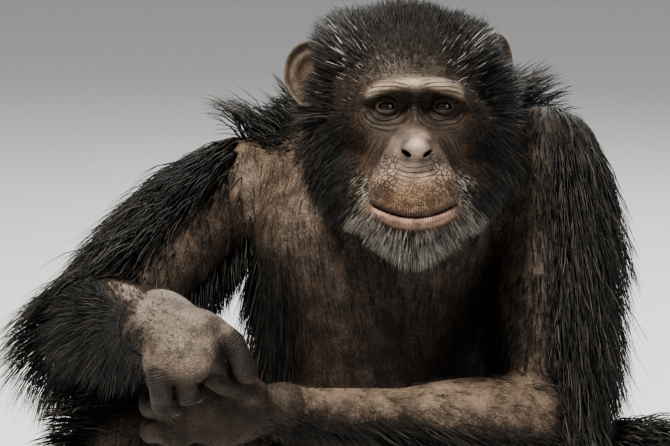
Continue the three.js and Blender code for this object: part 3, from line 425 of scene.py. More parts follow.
def head_uvw(p):
    """The columns u, v and w of points in the head's frame."""
    x, y, z = p[0] - EYE_MIDDLE[0], p[1] - EYE_MIDDLE[1], p[2] - EYE_MIDDLE[2]
    return [x * a[0] + y * a[1] + z * a[2] for a in HEAD_AXES]


skull = merged([
    ellipsoid(on_head(-8, 26, -90), (82, 69, 86), HEAD_AXES),
    ellipsoid(on_head(0, -34, -84), (68, 62, 66), HEAD_AXES),
    ellipsoid(on_head(0, -22, -30), (58, 52, 36), HEAD_AXES),
    ellipsoid(on_head(-1, -62, -6), (42, 40, 40), HEAD_AXES),
    capsule(on_head(-38, -100, -8), on_head(-60, -48, -72), 24, 26),
    capsule(on_head(36, -100, -8), on_head(60, -48, -72), 24, 26),
    capsule(on_head(-44, -16, -18), on_head(-58, -14, -48), 15, 18),
    capsule(on_head(44, -16, -18), on_head(58, -14, -48), 15, 18),
], 20)
BROW = [(-48, 8, -14), (-38, 17, -3), (-22, 20, 5), (0, 17, 6), (22, 20, 5), (40, 17, -3), (52, 7, -15)]
brow = chain([on_head(*place) for place in BROW], [8.5] * len(BROW))
muzzle = merged([
    ellipsoid(on_head(-1, -86, 6), (48, 37, 44), HEAD_AXES),
    ellipsoid(on_head(-1, -112, 6), (38, 24, 38), HEAD_AXES),
    capsule(on_head(0, -10, -6), on_head(0, -38, 20), 8, 10),
    ellipsoid(on_head(0, -47, 18), (27, 21, 24), HEAD_AXES),
], 13)
nose_tip = merged([
    ellipsoid(on_head(0.5, -42, 35), (11, 8.5, 8), HEAD_AXES),
    ellipsoid(on_head(-13, -49, 32), (8, 7, 8), HEAD_AXES),
    ellipsoid(on_head(14, -49, 32), (8, 7, 8), HEAD_AXES),
], 5)
sockets = [ellipsoid(on_head(s * EYE_SPACING / 2, -1, 8), (18, 10.5, 17), HEAD_AXES) for s in (-1, 1)]
MOUTH = {"right": -46, "left": 41, "middle": -111.5, "rise": 14.5}  # u of the corners, v of the middle


def mouth_v(u):
    """The height of the mouth's line: lowest in the middle and rising to the corners."""
    return MOUTH["middle"] + MOUTH["rise"] * ((u + 2) / 44) ** 2


def carved(d, hollow, k):
    """What is left of a form once a hollow is taken out of it, with the rim rounded over k."""
    h = np.maximum(k - np.abs(d + hollow), 0) / k
    return np.maximum(d, -hollow) + h * h * k / 4


def face_distance(p):
    """The skull with the muzzle, nose and brow on it, then the hollows and rolls that make the features."""
    d = smooth(skull(p), muzzle(p), 16)
    d = smooth(d, nose_tip(p), 6)
    d = smooth(d, brow(p), 9)
    for socket in sockets:
        d = carved(d, socket(p), 8)
    u, v, w = head_uvw(p)
    front = ramp(w, 5, 25)
    # lips: the upper one overhangs a dark gap, the lower is a soft roll below it
    line = v - mouth_v(u)
    within = ramp(-np.abs(u + 2.5), -46, -38) * front
    d = d - 1.6 * within * np.exp(-(((line - 4.5) / 4.5) ** 2)) - 3.4 * within * np.exp(-(((line + 6.5) / 4.6) ** 2))
    d = d + 6.5 * within * np.exp(-((line / 1.35) ** 2)) + 1.6 * within * np.exp(-(((line + 14.5) / 4) ** 2))
    # lids
    for eye in EYES.values():
        q = (u - eye[0], v - eye[1], w - eye[2])
        ball = size(q[0], q[1] / 0.98, q[2])
        lid = np.abs(ball - 13.4) - 1.25
        slit = np.hypot(q[0] / 8.2, (q[1] - 0.4 + 0.012 * q[0] ** 2) / 4.1) - 1
        lid = np.maximum(lid, -slit * 4.4)
        lid = np.where(q[2] > -2, lid, 9)
        d = smooth(d, lid, 2.2)
        d = np.maximum(d, -np.maximum(ball - 12.15, -9 - q[2]))
        d = np.maximum(d, -np.maximum(slit * 4.4, np.abs(q[2] - 16) - 9))
    # nostrils: two commas that open down and outwards
    for s in (-1, 1):
        a = (s * (u - 1) - 10.5, v + 48.5)
        bend = 0.55 * a[0]
        hole = np.hypot(a[0] / 5.0, (a[1] - bend) / 2.7) - 1
        d = np.maximum(d, -np.maximum(hole * 3, np.abs(w - 40) - 14))
    return d


class Face(Form):
    def near(self, centre, radius):
        form, d = skull.near(centre, radius)
        return (form, d) if d > 1.3 * radius + 60 or d < -1.3 * radius - 40 else (self, float(self(centre[:, None])[0]))


face = Face(face_distance)
print("head ready")

# %% [markdown]
# All parts welded together make the animal's bare surface.

# %% The whole body as one field
arms = {side: arm(side) for side in SIDES}
legs = {side: leg(side) for side in SIDES}
feet = {side: foot(side) for side in SIDES}
body = welded(trunk, neck, NECK_ROOT, 120, 30)
for side, joints in JOINTS.items():
    body = welded(body, arms[side], joints["shoulder"], 66, 34)
    body = welded(body, legs[side], joints["hip"], 88, 30)
    body = welded(body, feet[side], joints["ankle"], 40, 16)
body = welded(body, skull, SKULL_ROOT, 90, 24)


def arm_with_hand(side):
    return welded(arms[side], hand(side), JOINTS[side]["wrist"], 30, 12, fade=20)


both_hands = merged([arm_with_hand(side) for side in SIDES], 0.6)
front = welded(neck, face, SKULL_ROOT, 90, 24)
CORNERS = np.array([(1, 1, 1), (1, -1, -1), (-1, 1, -1), (-1, -1, 1)], float)
CELL = 44.0
known = {}  # what is left of a form within a cell of space, so that it is found only once


def local_form(form, cell):
    """The forms that matter within one cell, taken from what matters in a group of eight cells a side."""
    coarse = (id(form), "coarse", *(int(c) // 8 for c in cell))
    if coarse not in known:
        known[coarse] = form.near((np.array(coarse[2:]) + 0.5) * 8 * CELL, 8 * CELL * 0.87)[0]
    fine = (id(form), *map(int, cell))
    if fine not in known:
        known[fine] = known[coarse].near((np.array(cell) + 0.5) * CELL, CELL * 0.87 + 1)[0]
    return known[fine]


def probe(form, points, slopes=True, e=0.4):
    """Distances at points, and the directions in which they grow. Points are taken cell by cell, each with only the
    forms near it, and a slope comes from four samples at the corners of a small tetrahedron."""
    cells = np.floor(points / CELL).astype(np.int64)
    keys = cells @ np.array([1, 4096, 4096**2])
    order = np.argsort(keys, kind="stable")
    groups = np.split(order, np.flatnonzero(np.diff(keys[order])) + 1)
    distances, ways = np.zeros(len(points)), np.zeros_like(points)
    for group in groups:
        p = np.ascontiguousarray(points[group].T)
        local = local_form(form, cells[group[0]])
        if not slopes:
            distances[group] = local(p)
            continue
        samples = [local(p + e * c[:, None]) for c in CORNERS]
        distances[group] = sum(samples) / 4
        ways[group] = (np.stack(samples, 1) @ CORNERS) / (4 * e)
    return distances, ways


print("distance from the seat's middle", round(float(body(np.array([[0.0], [0.0], [100.0]]))[0]), 1), "mm")

# %% [markdown]
# A surface is drawn round a field by dual contouring in its simplest form: every small cube of a grid that the
# surface crosses gets one point, and every grid edge that it crosses gets one face between four such points. Then
# each point slides along the field's slope until its distance is nil, so that the surface is smooth. Cubes far
# from the surface are never looked at.

# %% Drawing the surface of a field
CUBE_CORNERS = np.array([(i, j, k) for i in (0, 1) for j in (0, 1) for k in (0, 1)])
CUBE_EDGES = [(a, b) for a in range(8) for b in range(a + 1, 8) if np.abs(CUBE_CORNERS[a] - CUBE_CORNERS[b]).sum() == 1]


def known_near(form, centre, radius):
    """near() for a block, starting from what matters in the group of cells that holds its middle, where it fits."""
    cell = np.floor(centre / CELL)
    middle = (np.floor(cell / 8) + 0.5) * 8 * CELL
    if np.abs(centre - middle).max() + radius > 8 * CELL / 2 * 1.6:
        return form.near(centre, radius)
    local_form(form, cell)
    return known[(id(form), "coarse", *(int(c) // 8 for c in cell))].near(centre, radius)


def sampled(form, low, high, step, block=14):
    """Distances on a grid, taken in blocks. A block that the surface can't reach gets its middle's distance."""
    count = np.ceil((np.asarray(high, float) - low) / step).astype(int) + 1
    values = np.empty(count, np.float32)
    reach = step * block * 0.87
    for i in range(0, count[0], block):
        for j in range(0, count[1], block):
            for k in range(0, count[2], block):
                cut = tuple(slice(a, min(a + block, n)) for a, n in zip((i, j, k), count))
                centre = low + step * (np.array((i, j, k)) + block / 2 - 0.5)
                local, middle = known_near(form, centre, reach)
                if abs(middle) > 1.3 * reach + 12:
                    values[cut] = middle
                    continue
                rulers = (low[a] + step * np.arange(c.start, c.stop) for a, c in enumerate(cut))
                grid = np.stack(np.meshgrid(*rulers, indexing="ij"))
                values[cut] = local(grid.reshape(3, -1)).reshape(grid.shape[1:])
    return values


def contoured(values, low, step):
    """Points and four-cornered faces of the surface between the inside and the outside of a grid of distances."""
    inside = values < 0
    n = np.array(values.shape) - 1
    total = sum(inside[i:i + n[0], j:j + n[1], k:k + n[2]].astype(np.int8) for i, j, k in CUBE_CORNERS)
    cubes = np.argwhere((total > 0) & (total < 8))
    number = np.full(n, -1)
    number[tuple(cubes.T)] = np.arange(len(cubes))
    corner = np.stack([values[tuple((cubes + c).T)] for c in CUBE_CORNERS], 1).astype(float)
    place, crossings = np.zeros((len(cubes), 3)), np.zeros(len(cubes))
    for a, b in CUBE_EDGES:
        crossed = (corner[:, a] < 0) != (corner[:, b] < 0)
        share = np.where(crossed, corner[:, a] / np.where(crossed, corner[:, a] - corner[:, b], 1), 0)
        at = CUBE_CORNERS[a] + share[:, None] * (CUBE_CORNERS[b] - CUBE_CORNERS[a])
        place += np.where(crossed[:, None], at, 0)
        crossings += crossed
    points = low + step * (cubes + place / crossings[:, None])
    faces = []
    for axis in range(3):
        o1, o2 = np.eye(3, dtype=int)[(axis + 1) % 3], np.eye(3, dtype=int)[(axis + 2) % 3]
        ahead = np.diff(inside.astype(np.int8), axis=axis)
        edges = np.argwhere(ahead != 0)
        keep = np.all((edges >= o1 + o2) & (edges < n), axis=1)
        edges = edges[keep]
        quad = np.stack([number[tuple((edges - shift).T)] for shift in (0, o1, o1 + o2, o2)], 1)
        grows = ahead[tuple(edges.T)] > 0  # the inside is ahead, so the face looks back
        quad[~grows] = quad[~grows][:, ::-1]
        faces.append(quad[:, ::-1])
    return points, np.concatenate(faces)


def settled(form, points, step):
    """Slides points down the slope onto the surface, twice, and never further than half a grid step at once."""
    d, way = probe(form, points)
    way = way / np.maximum((way**2).sum(1), 0.25)[:, None]
    points = points - np.clip(d, -step / 2, step / 2)[:, None] * way
    d, _ = probe(form, points, slopes=False)
    return points - np.clip(d, -step / 4, step / 4)[:, None] * way


def skinned(form, low, high, step):
    points, faces = contoured(sampled(form, np.asarray(low, float), high, step), np.asarray(low, float), step)
    return settled(form, points, step), faces


def made_mesh(name, points, faces):
    """A mesh object of points in millimetres and faces of any fixed number of corners."""
    mesh = bpy.data.meshes.new(name)
    faces = np.asarray(faces)
    mesh.vertices.add(len(points))
    mesh.vertices.foreach_set("co", (np.asarray(points) * MM).astype(np.float32).ravel())
    mesh.loops.add(faces.size)
    mesh.loops.foreach_set("vertex_index", faces.astype(np.int32).ravel())
    mesh.polygons.add(len(faces))
    mesh.polygons.foreach_set("loop_start", np.arange(0, faces.size, faces.shape[1], dtype=np.int32))
    mesh.update(calc_edges=True)
    mesh.polygons.foreach_set("use_smooth", np.ones(len(faces), bool))
    made = bpy.data.objects.new(name, mesh)
    bpy.context.scene.collection.objects.link(made)
    return made


print("surface tools ready")

# %% [markdown]
# One mesh fine enough for the eyelids everywhere would be far too heavy. So the skin is drawn in four stretches,
# each as fine as it needs: the face, the hands, the feet and all the rest. Where two stretches meet, each dives
# 2 mm under the other, so that joined in one mesh they make one skin with no step.

# %% Trimming a stretch of skin at a plane
DIVE = 2.0  # how far the end of a stretch goes under its neighbour
DIVE_LENGTH = 16.0


class trimmed(Form):
    """A form whose distance is changed by a rule of the point: rule(p, distance) gives the new distance."""

    def __init__(self, form, rule):
        self.form, self.rule = form, rule

    def distance(self, p):
        return self.rule(p, self.form(p))

    def near(self, centre, radius):
        form, _ = self.form.near(centre, radius)
        local = trimmed(form, self.rule)
        return local, float(local(np.reshape(centre, (3, 1)))[0])


def past(point, normal):
    """How far points lie past a plane, as a function of the points."""
    point, normal = np.asarray(point, float), unit(normal)
    return lambda p: (p[0] - point[0]) * normal[0] + (p[1] - point[1]) * normal[1] + (p[2] - point[2]) * normal[2]


def ended(form, beyond, length=DIVE_LENGTH):
    """The form dives under where beyond(p) is above nil, and ends a little further on."""
    return trimmed(form, lambda p, d: np.maximum(d + DIVE * ramp(beyond(p), 0, length), beyond(p) - length - 1))


def dipped(form, beyond):
    return trimmed(form, lambda p, d: d + DIVE * ramp(beyond(p), 0, DIVE_LENGTH))


FACE_BACK = -18  # w of the plane between the face and the rest of the head
in_face = past(on_head(0, 0, FACE_BACK), HEAD_AXES[2])
FACE_MIDDLE = on_head(0, -40, 0)


def about(p, centre, radius):
    """How far points lie inside a ball."""
    return radius - size(p[0] - centre[0], p[1] - centre[1], p[2] - centre[2])


rest_form = ended(body, lambda p: np.minimum(in_face(p), about(p, FACE_MIDDLE, 130)), 4)
hand_forms, foot_forms = [], []
for side, joints in JOINTS.items():
    elbow, wrist, ankle = joints["elbow"], joints["wrist"], joints["ankle"]
    in_hand = past(mix(elbow, wrist, 0.9), plus(wrist, elbow, -1))
    in_foot = past(plus(ankle, (0, 2, 22)), (0.1 * -SIDES[side], -0.35, -0.93))
    rest_form = dipped(rest_form, lambda p, f=in_hand, c=wrist: np.minimum(f(p), about(p, c, 60)))
    rest_form = dipped(rest_form, lambda p, f=in_foot, c=ankle: np.minimum(f(p), about(p, c, 75)))
    hand_forms.append(ended(arm_with_hand(side), lambda p, f=in_hand: -f(p)))
    foot_forms.append(ended(welded(legs[side], feet[side], ankle, 40, 16), lambda p, f=in_foot: -f(p)))
STRETCHES = {
    "rest": (rest_form, (-420, -480, -20), (360, 200, 780), 8.0, None),
    "face": (ended(front, lambda p: -in_face(p)), (-60, -345, 440), (125, -215, 700), 1.75, lambda p: -in_face(p)),
    "hands": (merged(hand_forms, 0.6), (-275, -500, 250), (-60, -300, 460), 2.55, None),
    "feet": (merged(foot_forms, 0.6), (-225, -535, -8), (240, -250, 120), 4.7, None),
}


def without_end(points, faces, beyond):
    """Leaves out the faces of a stretch's hidden flat end."""
    hidden = beyond(points.T) > DIVE_LENGTH - 0.5
    return faces[~hidden[faces].all(1)]


def joined_mesh(name, stretches):
    """Stretches of (points, faces) in one mesh, with any hole filled."""
    counts = np.cumsum([0] + [len(points) for points, _ in stretches])
    made = made_mesh(name, np.concatenate([points for points, _ in stretches]),
                     np.concatenate([faces + n for (_, faces), n in zip(stretches, counts)]))
    shape = bmesh.new()
    shape.from_mesh(made.data)
    bmesh.ops.delete(shape, geom=[v for v in shape.verts if not v.link_faces], context="VERTS")
    bmesh.ops.holes_fill(shape, edges=[e for e in shape.edges if e.is_boundary], sides=0)
    shape.to_mesh(made.data)
    shape.free()
    return made


stretches = []
for name, (form, low, high, step, beyond) in STRETCHES.items():
    points, faces = skinned(form, low, high, step)
    points[:, 2] = np.maximum(points[:, 2], 0.4)
    stretches.append((points, without_end(points, faces, beyond) if beyond else faces))
    print(name, len(points), "points", len(stretches[-1][1]), "faces")

# %% [markdown]
# Ears are too thin to draw on a grid, so each is a surface of its own: one parameter goes round the ear, the other
# from the middle of the hollow in front, over the rolled rim, to the middle of the back. The inner edge is sunk in
# the side of the head.

# %% Ears
EARS = {"right": ((-105, 36, -86), (-0.94, 0, -0.34)), "left": ((84, 44, -92), (0.66, 0, -0.75))}
EAR_WIDE, EAR_TALL = 29.5, 35  # half the breadth and half the height
ROUND, OVER = 72, 34  # points round the ear, and from front to back


def ear(side):
    """Front: a cup with a rolled rim, a ridge inside it and a deeper bowl low down. Back: the same, 4 mm behind."""
    middle, outward = EARS[side]
    outward = unit(outward)
    facing = np.cross(outward, (0, 1, 0)) * SIDES[side]
    turn, over = np.meshgrid(np.linspace(0, 2 * np.pi, ROUND, endpoint=False), np.linspace(0, 1, OVER), indexing="ij")
    front = over < 0.62
    out = np.where(front, over / 0.62, (1 - over) / 0.38)  # 0 in the middle, 1 at the rim
    a, b = np.cos(turn), np.sin(turn)
    reach = np.where(b > 0, 1.0, 1 - 0.1 * b**2)
    wide, tall = EAR_WIDE * out * reach, EAR_TALL * out * reach
    cup = -7 * (1 - out**2) - 5 * np.exp(-((out - 0.25) / 0.3) ** 2) * (1 - 0.4 * b)
    rim = 3.4 * np.exp(-(((out - 0.93) / 0.07) ** 2)) - 1.2 * np.exp(-(((out - 0.8) / 0.06) ** 2))
    ridge = 2.6 * np.exp(-(((out - 0.58) / 0.1) ** 2)) * ramp(b, -0.5, 0.3) * ramp(a, -0.6, 0.2)
    tragus = 3 * np.exp(-(((out - 0.5) / 0.2) ** 2)) * ramp(-a, 0.6, 0.95)
    depth = np.where(front, cup + rim + ridge + tragus, -9 * (1 - out**2) - 4.2 * np.sqrt(np.clip(1 - out**8, 0, 1)))
    lobe = 4 * np.exp(-(((b + 1) / 0.35) ** 2)) * out
    at = np.stack([wide * a, tall * b - lobe, depth + 2 * out * b], -1) @ np.array([outward, (0, 1, 0), facing])
    points = EYE_MIDDLE + (np.array(middle) + at) @ HEAD_AXES
    number = np.arange(ROUND * OVER).reshape(ROUND, OVER)
    ahead = np.roll(number, -1, axis=0)
    faces = np.stack([number[:, :-1], ahead[:, :-1], ahead[:, 1:], number[:, 1:]], -1).reshape(-1, 4)
    return points.reshape(-1, 3), faces if side == "left" else faces[:, ::-1]


for side in SIDES:
    points, faces = ear(side)
    stretches.append((points, faces))
    print("ear", side, len(faces), "faces")

# %% [markdown]
# All stretches and both ears are joined in one skin, which stands for every node of flesh.

# %% One skin


def cleaned(piece):
    """Merges doubled points, such as those at a pole, and turns every face outwards."""
    shape = bmesh.new()
    shape.from_mesh(piece.data)
    bmesh.ops.remove_doubles(shape, verts=shape.verts, dist=1e-6)
    bmesh.ops.recalc_face_normals(shape, faces=shape.faces)
    shape.to_mesh(piece.data)
    shape.free()
    piece.data.polygons.foreach_set("use_smooth", np.ones(len(piece.data.polygons), bool))


skin = joined_mesh("skin", stretches)
cleaned(skin)


def arrays(mesh):
    """Points and their normals, in millimetres, and the four-cornered faces of a mesh."""
    points = np.empty(len(mesh.vertices) * 3)
    mesh.vertices.foreach_get("co", points)
    normals = np.empty(len(mesh.vertices) * 3)
    mesh.vertex_normals.foreach_get("vector", normals)
    total = np.empty(len(mesh.polygons), int)
    mesh.polygons.foreach_get("loop_total", total)
    start = np.empty(len(mesh.polygons), int)
    mesh.polygons.foreach_get("loop_start", start)
    corners = np.empty(len(mesh.loops), int)
    mesh.loops.foreach_get("vertex_index", corners)
    quads = corners[start[total == 4][:, None] + np.arange(4)]
    return points.reshape(-1, 3) / MM, normals.reshape(-1, 3), quads


FLESH = [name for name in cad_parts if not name.startswith("eye")]
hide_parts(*FLESH)
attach(skin, "root")
print("skin", len(skin.data.vertices), "points", sum(len(p.vertices) - 2 for p in skin.data.polygons), "triangles")

# %% [markdown]
# A chimpanzee's face is creased all over. The large folds move the points themselves: the brow stands out over
# sunken sockets. The fine ones are one number that grows by one from each crease to the next, such as the distance
# from the eye divided by the spacing. The skin's finish draws a groove wherever that number is whole, as a bump and
# as painted shade that darkens the groove, which stays sharp on a coarse mesh, because the number itself is smooth.

# %% Folds of the face


def bell(x, middle, half):
    """1 at the middle, falling off on both sides over about half."""
    return np.exp(-(((x - middle) / half) ** 2))


def brow_line(u):
    return 22 - 0.0047 * u**2


def face_fold(u, v, w):
    """Outward movement in mm, crease number, depth of creases, cracks and stubble, all by place on the face."""
    fore = ramp(w, -45, -15)
    eye = np.minimum(np.hypot(u - HALF_SPACING, v), np.hypot(u + HALF_SPACING, v))
    eye_u = np.where(u > 0, u - HALF_SPACING, -(u + HALF_SPACING))  # grows away from the nose
    ring = np.hypot(eye_u / 1.2, v)
    off_lids = ramp(eye, 9.5, 15)
    over = v - brow_line(u)
    rise = 4.2 * bell(over, 0, 6) * (1 - ramp(np.abs(u), 44, 56)) * (0.7 + 0.3 * ramp(np.abs(u), 4, 18))
    rise -= 4.2 * bell(ring, 15, 7) * ramp(over, -4, -11) * off_lids * (1 - ramp(-v, 8, 24))
    rise -= 1.6 * bell(u, 0, 9) * bell(v, 2, 9)
    nose_edge = 15 + 0.32 * np.clip(-v - 22, 0, 45)
    rise -= 1.5 * bell(np.abs(u + 2), nose_edge + 4, 4) * ramp(-v, 20, 32) * (1 - ramp(-v, 58, 70))
    rise += 1.0 * bell(np.abs(u + 2), nose_edge - 4, 5) * ramp(-v, 22, 34) * (1 - ramp(-v, 55, 66))
    rise -= 1.3 * bell(v, -68 + 0.012 * u**2, 3.2) * (1 - ramp(np.abs(u), 14, 26))
    side_line = 34 + 0.34 * np.clip(-v - 48, 0, 40)
    rise -= 2.6 * bell(np.abs(u + 2), side_line + 5, 6) * ramp(-v, 34, 50) * (1 - ramp(-v, 84, 104))
    rise += 1.8 * bell(np.abs(u + 2), side_line - 10, 10) * bell(v, -72, 18)
    rise -= 1.2 * bell(v, -128, 5) * (1 - ramp(np.abs(u), 14, 26))

    number, depth = np.zeros_like(u), np.zeros_like(u)

    def crease(where, count, strength):
        nonlocal number, depth
        taken = (where > 0.02) & (where * strength > depth)
        number, depth = np.where(taken, count, number), np.where(taken, where * strength, depth)

    crease(bell(over, 0, 7) * ramp(np.abs(u), 5, 12) * (1 - ramp(np.abs(u), 42, 50)),
           (np.hypot(eye_u / 1.5, v + 8) - 27) / 4.2, 1.0)
    under = ramp(-v - 0.12 * eye_u, 1, 7) * (1 - ramp(ring + 0.15 * np.abs(eye_u), 22, 32)) * ramp(ring, 6.5, 9)
    crease(under, (ring - 9.5) / 5.2, 1.0)
    crease(ramp(v, 2, 6) * (1 - ramp(over, -9, -5)) * (1 - ramp(eye, 15, 20)), (ring - 6.2) / 3.4, 0.8)
    crease(bell(u, 0, 11) * bell(v, 0, 12), v / 3.7, 0.7)
    crease(bell(over, 12, 6) * (1 - ramp(np.abs(u), 35, 50)), over / 5.5, 0.22)
    outer = ramp(np.abs(u + 2), nose_edge + 3, nose_edge + 8) * ramp(-v, 30, 40) * (1 - ramp(-v, 74, 84))
    crease(outer * (1 - ramp(np.abs(u + 2), 46, 56)), (np.abs(u + 2) - nose_edge - 4 + 0.25 * (v + 50)) / 5.4, 0.6)
    crease(bell(v, -68, 7) * (1 - ramp(np.abs(u), 16, 24)), (v + 68 - 0.012 * u**2) / 5.0, 0.8)
    lip = mouth_v(u)
    crease(ramp(v, lip - 1, lip + 3) * (1 - ramp(v, lip + 9, lip + 17)) * (1 - ramp(np.abs(u), 38, 46)),
           (u + 0.001 * u**3) / 2.7, 0.5)
    crease(ramp(-v, -lip, 1 - lip) * (1 - ramp(-v, 8 - lip, 12 - lip)) * (1 - ramp(np.abs(u), 34, 42)), u / 2.3, 0.4)
    crease(ramp(np.abs(u), 48, 54) * (1 - ramp(v, 4, 12)) * ramp(v, -60, -40), (ring + 0.3 * v) / 6.0, 0.5)
    crack = ramp(-v, 44, 54) * (1 - ramp(-v, 84, 94)) * ramp(np.abs(u + 1), 13, 20) * (1 - ramp(np.abs(u), 44, 54))
    stubble = ramp(-v, 68, 80) * (1 - ramp(-v, -lip - 6, -lip - 1)) * (1 - ramp(np.abs(u), 34, 48))
    stubble = np.maximum(stubble, 0.8 * ramp(-v, 121, 126) * (1 - ramp(-v, 135, 145)) * (1 - ramp(np.abs(u), 26, 40)))
    rise -= 0.38 * np.minimum(depth, 1) * np.cos(2 * np.pi * number)
    return rise * fore, number, depth * fore, crack * fore, stubble * fore


def in_head(points):
    """Whether a point is on the head in front of the ears, where the rules of the face hold."""
    u, v, w = head_uvw(points.T)
    return (np.abs(u + 2) < 75) & (v > -165) & (v < 70) & (w > -50)


points, normals, quads = arrays(skin.data)
facing = in_head(points) & ~(normals @ HEAD_AXES[2] < -0.2)
rise = np.zeros(len(points))
rise[facing] = face_fold(*head_uvw(points[facing].T))[0]
skin.data.vertices.foreach_set("co", ((points + rise[:, None] * normals) * MM).astype(np.float32).ravel())
skin.data.update()
print("face moved by", round(rise.min(), 2), "to", round(rise.max(), 2), "mm")
skin_points, skin_normals, skin_quads = arrays(skin.data)

# %% [markdown]
# Where a point lies on the body decides everything else: how long the coat is, which way it lies and what colour
# the skin is. So each point gets the name of its part, from the part whose own field is nearest, and its place
# along and round that part.

# %% Places on the body
PARTS = {"trunk": trunk, "neck": neck, "head": skull}
for side in SIDES:
    PARTS |= {"arm_" + side: arms[side], "leg_" + side: legs[side],
              "foot_" + side: feet[side], "hand_" + side: hand(side)}
PART_NAMES = list(PARTS)
DOWN = np.array((0.0, 0.0, -1.0))


def part_of(points):
    """The number of the nearest part at each point."""
    nearest = np.stack([probe(form, points, slopes=False)[0] for form in PARTS.values()])
    return nearest.argmin(0)


def limb_place(points, a, b, outward):
    """Share of the way from a to b, the direction away from the bone, and how far that faces outward."""
    a, b = np.asarray(a, float), np.asarray(b, float)
    along = unit(b - a)
    q = points - a
    t = q @ along / np.linalg.norm(b - a)
    away = unit(q - (q @ along)[:, None] * along)
    outward = unit(np.asarray(outward) - (np.asarray(outward) @ along) * along)
    return t, away, away @ outward, along


ARM_OUT = {"right": unit((-0.62, 0.42, 0.66)), "left": unit((0.86, 0.5, -0.1))}
FOREARM_OUT = {"right": unit((-0.75, 0.1, -0.55)), "left": unit((0.1, 0.25, -0.95))}
print("parts", len(PART_NAMES))

# %% [markdown]
# The coat is black, long on the shoulders, arms and back, and thin on the chest. It is a table of rules: for each
# part, the length of a tuft, how close they stand, and the direction in which one starts and ends. Hair on the
# crown radiates from the brow, whiskers fan from the cheeks, arm hair runs to the elbow from above and from below.

# %% Rules of the coat


def vectors(count, *terms):
    """The unit sum of directions, each with its weight. A direction is one vector or one for each tuft."""
    total = np.zeros((count, 3))
    for way, weight in terms:
        weight = np.asarray(weight, float).reshape(-1, 1)
        total += np.broadcast_to(way, (count, 3)) * np.broadcast_to(weight, (count, 1))
    return unit(total)


def head_rule(points, normals):
    """Short hair swept back over the brow, long on the crown's corners, whiskers fanned down and back from the
    cheeks, a white fringe beside the mouth and a grizzled beard."""
    u, v, w = head_uvw(points.T)
    n = len(points)
    c = u + 2
    f = np.hypot(c / 60, (v + 36) / 88)
    behind = ramp(-w, 40, 75)
    above = ramp(v, 14, 36)
    low = ramp(-v, -5, 40)
    chin = ramp(-v, 96, 112) * ramp(w, -35, 0)
    nape = behind * ramp(-v, 10, 60)
    brow_hair = ramp(v + 0.1 * np.abs(c), 26, 52) * (0.8 + 0.2 * ramp(np.abs(c), 12, 40))
    cheek_hair = ramp(f + 0.03 * np.sin(v / 5) - 0.04 * (c > 0), 0.76, 1.08)
    fringe = ramp(np.abs(c) + 0.02 * (v + 80), 38, 46) * ramp(-v, 60, 76) * ramp(w, -40, -10)
    lip = mouth_v(u)
    hairy = above * np.maximum(brow_hair, cheek_hair * ramp(v, 14, 50)) + (1 - above) * cheek_hair
    hairy = np.maximum(np.maximum(hairy, behind), 0.8 * fringe)
    hairy = np.maximum(hairy * (1 - chin), chin * ramp(lip - v, 9, 14))
    corner = ramp(np.abs(c + 3), 28, 66) * ramp(v, 14, 52)
    length = 7 + 7 * ramp(v, 34, 62) + 16 * ramp(v, 62, 98) + 27 * corner + 8 * ramp(np.abs(c), 50, 85) * above
    length = length * (1 - low) + low * (7 + (40 - 13 * (c > 0)) * ramp(f, 0.98, 1.36))
    length = length * (1 - chin) + chin * (13 + 25 * ramp(-v, 118, 142) + 14 * ramp(np.abs(c), 30, 60))
    length = np.where(fringe > 0.3, np.minimum(length, 15 + 0.8 * np.clip(np.abs(c) - 50, 0, 40)), length)
    length = np.maximum(length, 40 * behind * (1 - ramp(v, 20, 60)) + 24 * behind)
    stand = 0.32 + 0.6 * corner + 0.25 * ramp(v, 70, 100)
    radial = vectors(n, (HEAD_AXES[0], c / 60), (HEAD_AXES[1], (v + 36) / 88))
    side = np.sign(c)
    up_start = vectors(n, (normals, stand), (radial, 0.75), (HEAD_AXES[2], -0.5))
    up_end = vectors(n, (radial, 0.5), (HEAD_AXES[2], -0.8), (normals, 0.3 * stand))
    down_start = vectors(n, (normals, 0.3), (HEAD_AXES[0], 0.7 * side), (HEAD_AXES[1], -0.6), (HEAD_AXES[2], -0.3))
    down_end = vectors(n, (HEAD_AXES[0], 0.38 * side), (HEAD_AXES[1], -0.95), (HEAD_AXES[2], -0.25))
    chin_start = vectors(n, (normals, 0.5), (HEAD_AXES[1], -0.8), (HEAD_AXES[0], c / 100))
    chin_end = vectors(n, (HEAD_AXES[1], -0.9), (HEAD_AXES[2], -0.15), (HEAD_AXES[0], c / 90))
    back_end = vectors(n, (DOWN, 0.7), (HEAD_AXES[2], -0.7))
    start = vectors(n, (up_start, (1 - low) * (1 - chin)), (down_start, low * (1 - chin)), (chin_start, chin))
    end = vectors(n, (up_end, (1 - low) * (1 - chin)), (down_end, low * (1 - chin) * (1 - nape)),
                  (chin_end, chin), (back_end, nape))
    ears = np.min([np.linalg.norm(np.stack([u, v, w], 1) - np.array(middle), axis=1) for middle, _ in EARS.values()], 0)
    length = length * (0.4 + 0.6 * ramp(ears, np.where(c > 0, 5, 16), np.where(c > 0, 30, 44)))
    white = np.maximum(0.6 * chin, 0.6 * fringe * (1 - ramp(np.abs(c), 47, 58)))
    # Painted sheen: a faint share of pale tufts on the temples and the sides of the crown.
    white = np.maximum(white, 0.1 * bell(np.abs(c), 52, 18) * bell(v, 40, 30))
    return length, hairy, start, end, white


